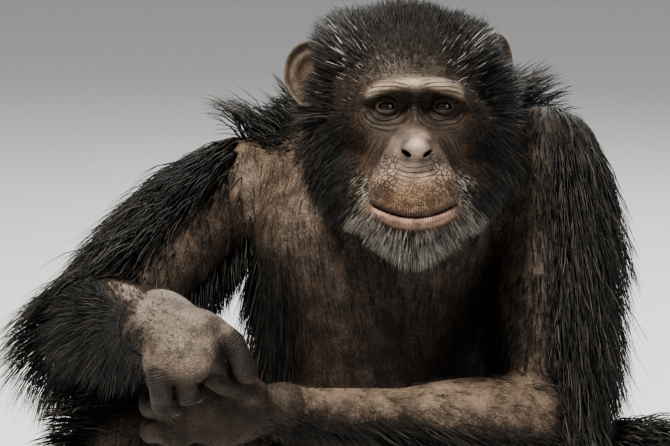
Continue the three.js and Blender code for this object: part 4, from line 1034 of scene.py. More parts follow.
def arm_rule(points, normals, side):
    shoulder, elbow, wrist = (np.array(JOINTS[side][name], float) for name in ("shoulder", "elbow", "wrist"))
    n = len(points)
    t, away, facing, along = limb_place(points, shoulder, elbow, ARM_OUT[side])
    s, away_low, facing_low, along_low = limb_place(points, elbow, wrist, FOREARM_OUT[side])
    lower = ramp(s, 0.0, 0.08) * ramp(t, 0.7, 0.95)
    left = side == "left"
    uneven = facing + 0.16 * patchy(points)
    if left:
        uneven = uneven + 0.16 * patchy(points, 47)
    beneath = 0 if left else ramp(-normals[:, 2], 0.1, 0.6) * ramp(t, 0.12, 0.3)
    outside = ramp(uneven, -0.85 if left else 0.02, -0.4 if left else 0.3)
    upper_hairy = np.maximum(outside, np.maximum(0.42 if left else 0.1, beneath))
    upper_hairy = np.maximum(upper_hairy, ramp(normals[:, 1], -0.05, 0.3))
    upper_long = (108 if left else 96) * ramp(facing, -0.9, 0.3) * (0.55 + 0.45 * ramp(t, -0.1, 0.25))
    upper_long = np.maximum(upper_long, 22 + 36 * beneath + 46 * ramp(normals[:, 1], -0.05, 0.3))
    upper_start = vectors(n, (along, 0.8), (away, 0.55))
    upper_end = vectors(n, (along, 0.75 * (1 - 0.8 * beneath)), (DOWN, 0.45 + 0.5 * beneath), (away, 0.12))
    low_side = ramp(facing_low, -0.5 if left else -0.75, 0.4 if left else -0.3)
    low_hairy = (0.22 + 0.78 * low_side) * (1 - ramp(s, 0.98, 1.1))
    low_long = (16 + (44 if left else 40) * ramp(facing_low, -0.5, 0.6)) * (1 - 0.6 * ramp(s, 0.5, 0.95))
    low_start = vectors(n, (away_low, 0.62), (along_low, -0.6))
    low_end = vectors(n, (along_low, -0.75), (away_low, 0.15 if left else 0.35), (DOWN, 0.6))
    length = upper_long * (1 - lower) + low_long * lower
    hairy = upper_hairy * (1 - lower) + low_hairy * lower
    start = vectors(n, (upper_start, 1 - lower), (low_start, lower))
    end = vectors(n, (upper_end, 1 - lower), (low_end, lower))
    return length, hairy, start, end, np.zeros(n)


def patchy(points, size=26.0):
    """A smooth uneven pattern of whole waves, from -1 to 1, that breaks up the edge of the coat."""
    x, y, z = points.T / size
    return (np.sin(x + 1.3 * np.sin(z)) + np.sin(1.7 * z + 1.1 * np.sin(y)) + np.sin(1.4 * y + 2 * np.cos(1.2 * x))) / 3


def trunk_rule(points, normals):
    """Long and hanging on the back, a standing mane on the shoulders, thin and pointing inwards on the chest."""
    n = len(points)
    x, _, z = points.T
    c = x - 8
    edge = 0.14 * patchy(points)
    behind = ramp(normals[:, 1] + edge, -0.45, 0.1)
    top = ramp(z + 12 * patchy(points), 455, 545) * ramp(normals[:, 1], -0.5, 0.05) * ramp(normals[:, 2], -0.1, 0.35)
    side = np.clip(c / 30, -1, 1)
    outer = ramp(np.abs(c), 60, 130)
    flank = ramp(np.abs(c), 85, 125) * (1 - ramp(z, 400, 470))
    belly = 1 - ramp(z, 180, 270)
    chest = 0.16 + 0.6 * flank + 0.35 * belly + 0.08 * patchy(points, 17)
    hairy = np.maximum(np.maximum(behind, top), chest)
    front_long = 30 + (24 + 40 * (c < 0)) * flank + 12 * belly
    length = front_long * (1 - behind) + (72 + 12 * ramp(z, 300, 480)) * behind
    length = np.maximum(length, (60 + 16 * (c < 0)) * top)
    hang_start = vectors(n, (DOWN, 0.85), (normals, 0.5))
    hang_end = vectors(n, (DOWN, 1.0), (normals, 0.12))
    chest_start = vectors(n, (DOWN, 0.9), ((1, 0, 0), -0.4 * side), (normals, 0.28))
    mane_start = vectors(n, (normals, 0.8), ((0, 0, 1), 0.35), ((1, 0, 0), 0.3 * side))
    mane_end = vectors(n, ((1, 0, 0), side * (0.35 + 0.5 * outer)), ((0, 0, 1), 0.55 - 0.5 * outer), ((0, 1, 0), 0.3))
    start = vectors(n, (hang_start, (1 - top) * behind), (chest_start, (1 - top) * (1 - behind)), (mane_start, top))
    end = vectors(n, (hang_end, 1 - top), (mane_end, top))
    return length, hairy, start, end, np.zeros(n)


def neck_rule(points, normals):
    n = len(points)
    behind = ramp(normals[:, 1] + 0.8 * normals[:, 2], -0.3, 0.4)
    start = vectors(n, (normals, 0.6), ((0, 0.75, 0.2), 0.8))
    end = vectors(n, ((0, 0.8, -0.4), 0.9), (normals, 0.25), ((1, 0, 0), 0.3 * np.sign(points[:, 0] - 12)))
    end = vectors(n, (end, behind), (DOWN, 1 - behind))
    return 26 + 34 * behind, 0.45 + 0.55 * behind, start, end, np.zeros(n)


def leg_rule(points, normals, side):
    hip, knee, ankle = (np.array(JOINTS[side][name], float) for name in ("hip", "knee", "ankle"))
    n = len(points)
    t, _, facing, along = limb_place(points, hip, knee, (SIDES[side] * 0.8, 0.1, 0.6))
    s, _, _, along_low = limb_place(points, knee, ankle, (SIDES[side] * 0.5, -0.8, 0.2))
    lower = ramp(s, 0.0, 0.12) * ramp(t, 0.75, 0.95)
    length = (26 + 40 * ramp(facing, -0.6, 0.3)) * (1 - lower) + 44 * lower * (1 - 0.5 * ramp(s, 0.6, 1.0))
    hairy = (0.35 + 0.65 * ramp(facing, -0.8, -0.1)) * (1 - 0.4 * lower)
    start = vectors(n, (along, 0.85 * (1 - lower)), (along_low, 0.85 * lower), (normals, 0.45))
    end = vectors(n, (along, 0.7 * (1 - lower)), (along_low, 0.7 * lower), (DOWN, 0.5), (normals, 0.1))
    return length, hairy, start, end, np.zeros(n)


def sparse_rule(points, normals, way, length, hairy):
    n = len(points)
    start, end = vectors(n, (way, 0.9), (normals, 0.35)), vectors(n, (way, 1.0))
    return np.full(n, length), np.full(n, hairy), start, end, np.zeros(n)


def coat_rule(points, normals, part):
    """Length, closeness, start, end and whiteness at each point, from the rule of its part."""
    n = len(points)
    length, hairy, white = np.zeros(n), np.zeros(n), np.zeros(n)
    start, end = np.zeros((n, 3)), np.zeros((n, 3))
    for number, name in enumerate(PART_NAMES):
        here = part == number
        if not here.any():
            continue
        kind, _, side = name.partition("_")
        p, q = points[here], normals[here]
        if kind == "head":
            found = head_rule(p, q)
        elif kind == "neck":
            found = neck_rule(p, q)
        elif kind == "trunk":
            found = trunk_rule(p, q)
        elif kind == "arm":
            found = arm_rule(p, q, side)
        elif kind == "leg":
            found = leg_rule(p, q, side)
        elif kind == "hand":
            elbow, wrist = (np.array(JOINTS[side][place], float) for place in ("elbow", "wrist"))
            way = unit(unit(elbow - wrist) + 0.5 * DOWN)
            found = list(sparse_rule(p, q, way, 9, 0.05))
            far = np.linalg.norm(p - wrist, axis=1) + 6 * patchy(p, 5)
            at_wrist = (1 - ramp(far, 18, 58)) * ramp(q @ FOREARM_OUT[side], -0.8, 0.1)
            found[0], found[1] = found[0] + 16 * at_wrist, np.maximum(0.05, 0.75 * at_wrist)
        else:
            found = sparse_rule(p, q, unit(plus(FEET[side]["ball"], FEET[side]["heel"], -1)), 10, 0.08)
        length[here], hairy[here], start[here], end[here], white[here] = found
    return length, hairy, start, end, white


print("rules ready")

# %% [markdown]
# A tuft is a few hairs that cling together: a thin three-sided blade that bends from its first direction to its
# last and runs out to a point. All tufts of a piece are made at once. Each is pushed out of the body where it
# would enter it, and neighbours lean a little towards the same point, as real hair gathers in locks.

# %% Tufts
PATCH = 0.003  # size of one tuft's patch of the OFBake UV map
BLADES = {  # where the rings and the tip lie along a tuft, and how broad each ring is
    "long": ((0.0, 0.28, 0.6, 0.86, 1.0), (0.8, 1.0, 0.8, 0.45)),
    "short": ((0.0, 0.4, 0.78, 1.0), (0.8, 1.0, 0.6)),
}


def blade_faces(stations):
    """Triangles of one blade: its closed root, three sides between the rings, and the tip. With their places in the
    patch: round the blade across, and along it upwards."""
    rings = len(stations) - 1
    faces, places = [(2, 1, 0)], [((0.66, 0), (0.33, 0.05), (0, 0))]
    for ring in range(rings):
        for k in range(3):
            a, b = ring * 3 + k, ring * 3 + (k + 1) % 3
            x0, x1, y0, y1 = k / 3, (k + 1) / 3, stations[ring], stations[ring + 1]
            if ring + 1 < rings:
                faces += [(a, b, b + 3), (a, b + 3, a + 3)]
                places += [((x0, y0), (x1, y0), (x1, y1)), ((x0, y0), (x1, y1), (x0, y1))]
            else:
                faces.append((a, b, rings * 3))
                places.append(((x0, y0), (x1, y0), ((x0 + x1) / 2, y1)))
    return np.array(faces), np.array(places)


coat_form = merged([body, both_hands], 1)
COAT_LOW, COAT_HIGH = np.array(CAD_BOX[0]) / MM - (26, 26, 0), np.array(CAD_BOX[1]) / MM + 26  # tips end inside these


def gathered(roots, tips, lock=9.0, pull=0.45):
    """Moves each tip towards the mean tip of the tufts round the same random centre, one to every lock mm or so."""
    count = max(1, int(len(roots) / 7))
    centres = roots[rng.choice(len(roots), count, replace=False)]
    tree = KDTree(count)
    for i, c in enumerate(centres):
        tree.insert(c, i)
    tree.balance()
    near = np.array([tree.find(r)[1] for r in roots])
    close = np.linalg.norm(roots - centres[near], axis=1) < 2.5 * lock
    total = np.zeros((count, 3))
    np.add.at(total, near, tips)
    mean = total / np.maximum(np.bincount(near, minlength=count), 1)[:, None]
    return tips + (mean[near] - tips) * (pull * close * rng.uniform(0.4, 1.3, len(roots)))[:, None]


def tuft_mesh(name, roots, normals, start, end, length, breadth, colour, unwrap, kind="long"):
    """One mesh of blades. A blade's line is root + L (t start + t^2/2 (end - start)), with its tip gathered."""
    n = len(roots)
    stations, broad = (np.array(values) for values in BLADES[kind])
    rings = len(broad)
    blade, blade_places = blade_faces(stations)
    start = unit(start + rng.normal(0, 0.14, (n, 3)))
    end = unit(end + rng.normal(0, 0.2, (n, 3)))
    t = stations[None, :, None]
    line = roots[:, None] + length[:, None, None] * (t * start[:, None] + t * t / 2 * (end - start)[:, None])
    tips = gathered(roots, line[:, -1])
    line += (tips - line[:, -1])[:, None] * (stations**1.6)[None, :, None]
    for i, t in enumerate(stations[1:], 1):
        room = 0.8 + (1.5 + 0.05 * length) * t
        near = probe(coat_form, line[:, i], slopes=False)[0] < room
        d, way = probe(coat_form, line[near, i])
        line[near, i] += np.clip(room[near] - d, 0, None)[:, None] * unit(way)
        line[:, i, 2] = np.maximum(line[:, i, 2], 1.5 + 2 * t)
    line[:, 0] -= 1.2 * normals
    line = np.clip(line, COAT_LOW, COAT_HIGH)
    ahead = unit(np.diff(line, axis=1))
    across = unit(np.cross(ahead, normals[:, None]) + 1e-6)
    over = np.cross(across, ahead)
    turns = np.pi / 2 + 2 * np.pi * np.arange(3) / 3
    half = (breadth[:, None] * broad)[:, :, None, None] / 2
    round_line = across[:, :, None] * np.cos(turns)[:, None] + 0.6 * over[:, :, None] * np.sin(turns)[:, None]
    ring_points = line[:, :rings, None] + half * round_line
    points = np.concatenate([ring_points.reshape(n, -1, 3), line[:, -1:]], 1)
    faces = (blade[None] + points.shape[1] * np.arange(n)[:, None, None]).reshape(-1, 3)
    made = made_mesh(name, points.reshape(-1, 3), faces)
    places = unwrap[:, None, None] + PATCH * (blade_places[None] - 0.5)
    made.data.uv_layers.new(name="OFBake").data.foreach_set("uv", places.astype(np.float32).ravel())
    shades = colour(np.append(np.repeat(stations[:rings], 3), 1.0))
    tinted(made, shades.reshape(-1, 3))
    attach(made, "root")
    return made


def tinted(piece, colours, name="tint"):
    """Gives every point of a piece its own colour."""
    attribute = piece.data.color_attributes.new(name, "FLOAT_COLOR", "POINT")
    opaque = np.concatenate([colours, np.ones((len(colours), 1))], 1)
    attribute.data.foreach_set("color", opaque.astype(np.float32).ravel())


print({kind: len(blade_faces(stations)[0]) for kind, (stations, _) in BLADES.items()}, "triangles to a tuft")

# %% [markdown]
# The roots are scattered over the skin at random, more where the coat is close and fewer where it is thin, and each
# piece of coat is one region of the body so that none grows too large. The OFBake UV map of a piece unrolls the skin
# round an axis through its region: a tuft's patch lies where the angle and the height of its root fall.

# %% Roots
CORNER_SETS = skin_points[skin_quads]
QUAD_MIDDLES = CORNER_SETS.mean(1)
DIAGONALS = CORNER_SETS[:, 2:] - CORNER_SETS[:, :2]
QUAD_AREAS = 0.5 * np.linalg.norm(np.cross(DIAGONALS[:, 0], DIAGONALS[:, 1]), axis=1)
QUAD_NORMALS = unit(skin_normals[skin_quads].mean(1))
SKIN_PARTS = part_of(skin_points)
QUAD_PARTS = SKIN_PARTS[skin_quads[:, 0]]
RULES = coat_rule(QUAD_MIDDLES, QUAD_NORMALS, QUAD_PARTS)


def on_ear(points):
    """How surely a point is on the free part of an ear: close to its middle, and clear of the head."""
    away = [np.linalg.norm(points - on_head(*middle), axis=1) for middle, _ in EARS.values()]
    near = np.max([1 - ramp(far, 42, 48) for far in away], 0)
    found = np.zeros(len(points))
    found[near > 0] = ramp(probe(coat_form, points[near > 0], slopes=False)[0], 0.4, 1.6) * near[near > 0]
    return found


EAR_QUADS = on_ear(QUAD_MIDDLES) > 0.3
print("quads", len(skin_quads), "area", round(QUAD_AREAS.sum() / 1e6, 2), "m2")

BLACK, GREY_AND_SHEEN = np.array((0.009, 0.0085, 0.008)), np.array((0.06, 0.057, 0.053))
BROWN, WHITE = np.array((0.07, 0.045, 0.03)), np.array((0.55, 0.52, 0.47))


def coat_region(name, parts, count, breadth, axis_through, chosen=None, kind="long"):
    """Scatters count tufts over the chosen faces, by area times closeness, and makes them one piece of coat."""
    weight = QUAD_AREAS * RULES[1] * np.isin(QUAD_PARTS, [PART_NAMES.index(p) for p in parts]) * ~EAR_QUADS
    if chosen is not None:
        weight = weight * chosen
    picked = rng.choice(len(weight), count, p=weight / weight.sum())
    a, b = rng.random((2, count, 1))
    c = CORNER_SETS[picked]
    roots = (c[:, 0] * (1 - a) + c[:, 1] * a) * (1 - b) + (c[:, 3] * (1 - a) + c[:, 2] * a) * b
    normals = QUAD_NORMALS[picked]
    length, _, start, end, white = (r[picked] for r in RULES)
    length = length * rng.uniform(0.72, 1.12, count)
    wide = breadth * rng.uniform(0.65, 1.3, count) * (0.5 + 0.5 * ramp(length, 8, 45))
    # Grey hairs and painted sheen: a share of the tufts, more on the head, is painted grey, and the long ones get paler
    # tips.
    grey_and_sheen = rng.random(count) < (0.22 if "head" in parts else 0.12)
    white = (rng.random(count) < white) * rng.uniform(0.4, 1, count)
    base = BLACK + (GREY_AND_SHEEN - BLACK) * (rng.random(count) ** 2.5 * 0.4 + 0.4 * grey_and_sheen)[:, None]
    base = base + (BROWN - base) * (0.4 * rng.random(count) * (1 - ramp(length, 8, 24)))[:, None]
    base = base + (WHITE - base) * (0.75 * white)[:, None]
    tip = base * 1.3 + (WHITE * 0.5 - base) * (0.3 * grey_and_sheen * ramp(length, 24, 45))[:, None] + 0.003
    tip = tip + (WHITE - tip) * (0.6 * white)[:, None]

    def shades(share):
        return base[:, None] + (tip - base)[:, None] * share[None, :, None] ** 2

    low, high = np.array(axis_through[0], float), np.array(axis_through[1], float)
    along = unit(high - low)
    first = unit(np.cross(along, (0.3, 0.9, 0.2)))
    second = np.cross(along, first)
    q = roots - low
    angle, height = np.arctan2(q @ second, q @ first), q @ along / np.linalg.norm(high - low)
    unwrap = np.stack([0.5 + angle / (2 * np.pi), height], 1)
    unwrap = 0.01 + 0.98 * np.clip(unwrap, 0, 1)
    piece = tuft_mesh(name, roots, normals, start, end, length, wide, shades, unwrap, kind)
    print(name, count, "tufts")
    return piece


HEAD_AXIS, TRUNK_AXIS = ((30, -200, 440), (30, -200, 760)), ((8, -30, 0), (8, -30, 640))
FRONT = QUAD_NORMALS[:, 1] < -0.3
HEAD_V = head_uvw(QUAD_MIDDLES.T)[1]
COATS = [
    coat_region("coat_of_the_crown", ["head"], 11200, 0.97, HEAD_AXIS, HEAD_V >= 0, kind="short"),
    coat_region("coat_of_the_cheeks", ["head"], 8900, 1.08, HEAD_AXIS, (HEAD_V < 0) & (HEAD_V > -92)),
    coat_region("coat_of_the_beard", ["head"], 7000, 0.54, HEAD_AXIS, HEAD_V <= -92, kind="short"),
    coat_region("coat_of_the_neck", ["neck"], 2800, 1.75, ((14, -40, 470), (14, -160, 620))),
    coat_region("coat_of_the_shoulders", ["trunk"], 5500, 2.1, TRUNK_AXIS, (QUAD_MIDDLES[:, 2] >= 330) & ~FRONT),
    coat_region("coat_of_the_back", ["trunk"], 5500, 2.4, TRUNK_AXIS, (QUAD_MIDDLES[:, 2] < 330) & ~FRONT),
    coat_region("coat_of_the_chest", ["trunk"], 7500, 0.55, TRUNK_AXIS, FRONT, kind="short"),
]
for side in SIDES:
    joints = JOINTS[side]
    t = limb_place(QUAD_MIDDLES, joints["shoulder"], joints["elbow"], ARM_OUT[side])[0]
    COATS += [
        coat_region("coat_of_the_upper_arm_" + side, ["arm_" + side], 4900, 1.8,
                    (joints["shoulder"], joints["elbow"]), t < 0.9),
        coat_region("coat_of_the_forearm_" + side, ["arm_" + side, "hand_" + side], 4900, 1.32,
                    (joints["elbow"], joints["wrist"]), t >= 0.9, kind="short" if side == "left" else "long"),
        coat_region("coat_of_the_leg_" + side, ["leg_" + side, "foot_" + side], 4500, 2.0,
                    (joints["hip"], joints["ankle"])),
    ]

# %% [markdown]
# Each finish is made of nodes: the colour comes from the tint that every point carries, broken up by noise at the
# real size of pores, freckles and hairs, and the fine relief is a bump.

# %% Finishes


def finish(name, roughness, specular=0.5):
    """A material with its shader and a helper that adds a node and links it to others."""
    made = bpy.data.materials.new(name)
    made.use_nodes = True
    nodes, links = made.node_tree.nodes, made.node_tree.links
    shader = nodes["Principled BSDF"]
    shader.inputs["Roughness"].default_value = roughness
    shader.inputs["Specular IOR Level"].default_value = specular

    def add(kind, inputs=None, **settings):
        node = nodes.new("ShaderNode" + kind)
        for key, value in settings.items():
            setattr(node, key, value)
        for key, value in (inputs or {}).items():
            if isinstance(value, bpy.types.NodeSocket):
                links.new(value, node.inputs[key])
            else:
                node.inputs[key].default_value = value
        return node

    return made, shader, add, links


def coat_finish():
    made, shader, add, links = finish("black_hair", 0.45, 0.26)
    place = add("TexCoord").outputs["Object"]
    tint = add("Attribute", attribute_name="tint").outputs["Color"]
    noise = add("TexNoise", {"Vector": place, "Scale": 90.0, "Detail": 3.0})
    share = add("MapRange", {"Value": noise.outputs["Fac"], "From Min": 0.35, "From Max": 0.65,
                             "To Min": 0.75, "To Max": 1.3})
    colour = add("VectorMath", {0: tint, 1: share.outputs["Result"]}, operation="MULTIPLY")
    links.new(colour.outputs["Vector"], shader.inputs["Base Color"])
    hairs = add("TexNoise", {"Vector": place, "Scale": 1500.0, "Detail": 2.0})
    relief = add("Bump", {"Height": hairs.outputs["Fac"], "Strength": 0.4, "Distance": 0.0006})
    links.new(relief.outputs["Normal"], shader.inputs["Normal"])
    return made


def skin_finish():
    """Bare skin: the tint of each point, mottled with pale specks, with dark stubble, and painted shade in its creases
    and cracks.
    """
    made, shader, add, links = finish("bare_skin_finish", 0.52, 0.2)

    def math(operation, a, b):
        return add("Math", {0: a, 1: b}, operation=operation).outputs["Value"]

    def spread(value, low, high, to_low=0.0, to_high=1.0):
        inputs = {"Value": value, "From Min": low, "From Max": high, "To Min": to_low, "To Max": to_high}
        return add("MapRange", inputs, interpolation_type="SMOOTHSTEP").outputs["Result"]

    def blended(share, below, above):
        node = add("Mix", data_type="RGBA")
        for socket, value in ((node.inputs[0], share), (node.inputs[6], below), (node.inputs[7], above)):
            if isinstance(value, bpy.types.NodeSocket):
                links.new(value, socket)
            else:
                socket.default_value = value
        return node.outputs[2]

    place = add("TexCoord").outputs["Object"]
    tint = add("Attribute", attribute_name="tint").outputs["Color"]
    fold = add("SeparateColor", {"Color": add("Attribute", attribute_name="fold").outputs["Color"]}).outputs
    detail = add("SeparateColor", {"Color": add("Attribute", attribute_name="detail").outputs["Color"]}).outputs
    wander = add("TexNoise", {"Vector": place, "Scale": 70.0, "Detail": 2.0}).outputs["Fac"]
    number = math("ADD", fold["Red"], math("MULTIPLY", math("SUBTRACT", wander, 0.5), 0.8))
    off = math("PINGPONG", number, 0.5)
    shaded_groove = math("MULTIPLY", spread(off, 0.2, 0.0), fold["Green"])
    cells = add("TexVoronoi", {"Vector": place, "Scale": 190.0, "Randomness": 0.85}, feature="DISTANCE_TO_EDGE")
    crack = math("MULTIPLY", spread(cells.outputs["Distance"], 0.14, 0.0), detail["Red"])
    dots = add("TexVoronoi", {"Vector": place, "Scale": 620.0}, feature="F1").outputs["Distance"]
    stubble = math("MULTIPLY", spread(dots, 0.62, 0.3), detail["Green"])
    blotch = add("TexNoise", {"Vector": place, "Scale": 55.0, "Detail": 6.0, "Roughness": 0.65}).outputs["Fac"]
    speck = add("TexNoise", {"Vector": place, "Scale": 400.0, "Detail": 2.0, "Roughness": 0.6}).outputs["Fac"]
    patchy_pale = math("ADD", math("MULTIPLY", speck, 0.72), math("MULTIPLY", blotch, 0.28))
    pale = math("MULTIPLY", spread(patchy_pale, 0.48, 0.64), detail["Blue"])
    shade = spread(blotch, 0.32, 0.68, 0.55, 1.4)
    colour = add("VectorMath", {0: tint, 1: shade}, operation="MULTIPLY").outputs["Vector"]
    colour = blended(math("MULTIPLY", pale, 0.7), colour, (0.22, 0.17, 0.135, 1))
    colour = blended(math("MULTIPLY", stubble, 0.85), colour, (0.045, 0.022, 0.01, 1))
    # Painted shade: creases and cracks are painted dark, besides being sunk by the bump.
    colour = blended(math("MULTIPLY", math("MAXIMUM", shaded_groove, crack), 0.72), colour, (0.028, 0.018, 0.014, 1))
    links.new(colour, shader.inputs["Base Color"])
    fine = add("TexNoise", {"Vector": place, "Scale": 420.0, "Detail": 4.0}).outputs["Fac"]
    pores = add("TexVoronoi", {"Vector": place, "Scale": 700.0}, feature="F1").outputs["Distance"]
    height = math("ADD", math("MULTIPLY", fine, 0.3), math("MULTIPLY", pores, 0.22))
    height = math("ADD", height, math("MULTIPLY", blotch, 0.6))
    height = math("SUBTRACT", height, math("MULTIPLY", shaded_groove, 0.95))
    height = math("SUBTRACT", height, math("MULTIPLY", crack, 0.6))
    relief = add("Bump", {"Height": height, "Strength": 0.95, "Distance": 0.0019})
    links.new(relief.outputs["Normal"], shader.inputs["Normal"])
    return made


black_hair = coat_finish()
bare_skin = skin_finish()
for piece in COATS:
    piece.data.materials.append(black_hair)
skin.data.materials.append(bare_skin)
print("finishes ready")

# %% [markdown]
# The bare skin is dark brown, mottled with pale specks on the shoulders and forearms. The face is darker, with a
# pale brow, a pinkish nose and muzzle, brown cheeks and deep-set dark eyes. Painted light is laid over this: faces that
# point up are painted paler, forward faces of the lower body and the eye sockets are painted darker as painted shade,
# and the pink nose tip carries a painted highlight. Under the coat the skin is painted nearly black, a painted shade
# for the shadow inside the coat, so that no light shows between the tufts.

# %% Colours of the skin


def laid(colour, share, over):
    """Lays one colour over the others by a share at each point."""
    return colour + (np.array(over) - colour) * np.clip(share, 0, 1)[:, None]


def face_colour(u, v, w):
    """The colours of the face from the forehead down, one laid over another."""
    c = u + 2
    over = v - brow_line(u)
    eye_u = np.where(u > 0, u - HALF_SPACING, u + HALF_SPACING)
    colour = np.tile((0.05, 0.036, 0.028), (len(u), 1))
    colour = laid(colour, ramp(v, 20, 32), (0.05, 0.04, 0.032))
    colour = laid(colour, ramp(v, 40, 70), (0.03, 0.025, 0.02))
    colour = laid(colour, ramp(np.abs(c), 40, 52) * (1 - ramp(v, 0, 14)), (0.05, 0.028, 0.015))
    colour = laid(colour, 0.95 * bell(over, 1, 6.5) * (1 - ramp(np.abs(u), 44, 54)), (0.31, 0.245, 0.19))
    # Painted shade: the sockets round the eyes, under the brow, are painted near black.
    hollow = bell(np.hypot(eye_u / 1.2, v + 2), 6, 14) * (1 - ramp(over, -9, -4)) * 0.92
    colour = laid(colour, hollow, (0.018, 0.013, 0.01))
    colour = laid(colour, 0.9 * bell(u, 0, 12) * bell(v, 0, 11), (0.026, 0.019, 0.015))
    bags = ramp(-v, 2, 10) * (1 - ramp(-v, 28, 40)) * ramp(np.abs(c), 6, 14) * (1 - ramp(np.abs(c), 40, 50))
    colour = laid(colour, 0.85 * bags, (0.045, 0.036, 0.029))
    lids = bell(np.hypot(eye_u / 1.5, v), 6.4, 1.6)
    colour = laid(colour, 0.6 * lids, (0.06, 0.042, 0.034))
    edge = 13 + 0.56 * np.clip(-v - 22, 0, 60)
    nose = ramp(-v, 18, 32) * (1 - ramp(np.abs(c), edge - 2, edge + 5))
    colour = laid(colour, nose, (0.15, 0.12, 0.1))
    muzzle = ramp(-v, 56, 74) * (1 - ramp(np.abs(c), 38, 50)) * (1 - ramp(-v, 122, 134))
    colour = laid(colour, muzzle, (0.26, 0.19, 0.145))
    stubble = bell(-v, 92, 15) * (1 - ramp(np.abs(c), 26, 44))
    colour = laid(colour, 0.85 * stubble, (0.15, 0.097, 0.06))
    wing = bell(np.hypot((u - 1) / 1.05, (v + 44) / 0.85), 14, 4) * ramp(-v, 30, 38)
    colour = laid(colour, 0.9 * wing, (0.036, 0.029, 0.025))
    # Pink skin and a painted highlight: the nose tip is painted the brightest spot of the face.
    colour = laid(colour, 0.95 * bell(u - 1, 0, 8) * bell(v, -38, 8), (0.42, 0.31, 0.26))
    colour = laid(colour, 0.7 * bell(v, -60, 7) * bell(c, 0, 15), (0.11, 0.088, 0.072))
    lip = mouth_v(u)
    mouth_end = 1 - ramp(np.abs(u + 3), 38, 46)
    colour = laid(colour, 0.85 * bell(v, lip - 5, 4.2) * mouth_end, (0.34, 0.2, 0.16))
    colour = laid(colour, 0.8 * bell(v, lip + 3, 3) * mouth_end, (0.1, 0.062, 0.047))
    colour = laid(colour, ramp(lip - v, 10, 15) * ramp(-v, 100, 108), (0.1, 0.065, 0.04))
    return laid(colour, ramp(-w, 25, 60), (0.04, 0.03, 0.024)) * 0.9


def finger_ends(points, side):
    """Near 1 on the dark smooth skin of the last two bones of each finger."""
    found = np.zeros(len(points))
    for _, joints in HANDS[side]["digits"].values():
        p = np.array(joints, float)
        for a, b in ((p[1], p[2]), (p[2], p[3])):
            t = np.clip((points - a) @ (b - a) / ((b - a) @ (b - a)), 0.3 if a is p[1] else 0, 1)
            off = np.linalg.norm(points - a - t[:, None] * (b - a), axis=1)
            found = np.maximum(found, 1 - ramp(off, 13.5, 17))
    return found


def skin_looks(points, normals, part):
    """Tint, mottling and share of ear of each point of the skin."""
    colour = np.tile((0.052, 0.039, 0.031), (len(points), 1))
    mottle = np.full(len(points), 0.3)
    x, _, z = points.T
    up = ramp(normals[:, 2], -0.2, 0.8)
    front = ramp(-normals[:, 1], 0.0, 0.7)
    # Painted shade: faces that look forward, below the chest, are painted darker.
    colour = laid(colour, 0.9 * front * (1 - ramp(z, 330, 470)), (0.033, 0.023, 0.017))
    right_half = 1 - ramp(x, 60, 120)
    # Painted light: the top of the right shoulder is painted paler where it faces up.
    colour = laid(colour, 0.85 * ramp(z, 430, 520) * up * right_half, (0.09, 0.065, 0.047))
    mottle = mottle + 0.45 * ramp(z, 400, 500) * right_half
    arm_front = ramp(x, 110, 140) * ramp(z, 300, 380)
    colour, mottle = laid(colour, 0.9 * arm_front, (0.018, 0.014, 0.011)), mottle * (1 - 0.85 * arm_front)
    for side in SIDES:
        s = limb_place(points, JOINTS[side]["elbow"], JOINTS[side]["wrist"], FOREARM_OUT[side])[0]
        fore = (part == PART_NAMES.index("arm_" + side)) * ramp(s, -0.05, 0.2)
        # Painted light: the up-facing tops of the bare forearms are painted paler.
        colour = laid(colour, 0.8 * fore * up, (0.15, 0.112, 0.082))
        mottle = mottle * (1 - fore) + 0.7 * fore
        hand_part = (part == PART_NAMES.index("hand_" + side)) * 1.0
        colour = laid(colour, hand_part, (0.06, 0.046, 0.037) if side == "right" else (0.03, 0.022, 0.016))
        # Painted light: the up-facing backs of the hands are painted paler.
        colour = laid(colour, hand_part * up * 0.8, (0.14, 0.113, 0.093) if side == "right" else (0.05, 0.037, 0.028))
        fingers = hand_part.copy()
        fingers[hand_part > 0] = finger_ends(points[hand_part > 0], side)
        colour = laid(colour, 0.92 * fingers, (0.02, 0.016, 0.014))
        colour = laid(colour, hand_part * ramp(-normals[:, 2], 0.1, 0.7) * 0.8, (0.045, 0.035, 0.028))
        mottle = mottle * (1 - 0.6 * hand_part)
        foot_part = (part == PART_NAMES.index("foot_" + side)) * 1.0
        colour = laid(colour, foot_part, (0.06, 0.047, 0.038))
        mottle = mottle * (1 - 0.6 * foot_part)
    here = part == PART_NAMES.index("head")
    colour[here] = face_colour(*head_uvw(points[here].T))
    mottle[here] = 0.12
    ear = on_ear(points)
    mottle = mottle * (1 - 0.8 * ear)
    colour = laid(colour, ear, (0.033, 0.022, 0.016))
    return colour, mottle, ear


def ear_rim(points):
    """Near 1 on the rolled edge of an ear, which is paler than the hollow."""
    found = np.zeros(len(points))
    for middle, outward in EARS.values():
        q = (points - on_head(*middle)) @ HEAD_AXES.T
        found = np.maximum(found, ramp(np.hypot(q @ unit(outward) / EAR_WIDE, q[:, 1] / EAR_TALL), 0.78, 0.9))
    return found


def hand_fold(points, side):
    """Crease number and depth on a hand: creases cross each finger near its joints, and count along the bone."""
    number, depth = points[:, 2] / 7, np.zeros(len(points))
    for _, joints in HANDS[side]["digits"].values():
        joints = np.array(joints, float)
        for a, b, c in zip(joints, joints[1:], joints[2:]):
            along = unit(c - a)
            q = points - b
            s = q @ along
            away = np.linalg.norm(q - s[:, None] * along, axis=1)
            strong = 1.3 * bell(s, 0, 8) * (1 - ramp(away, 14, 19))
            taken = strong > depth
            number, depth = np.where(taken, s / 3.1, number), np.where(taken, strong, depth)
    return number, depth


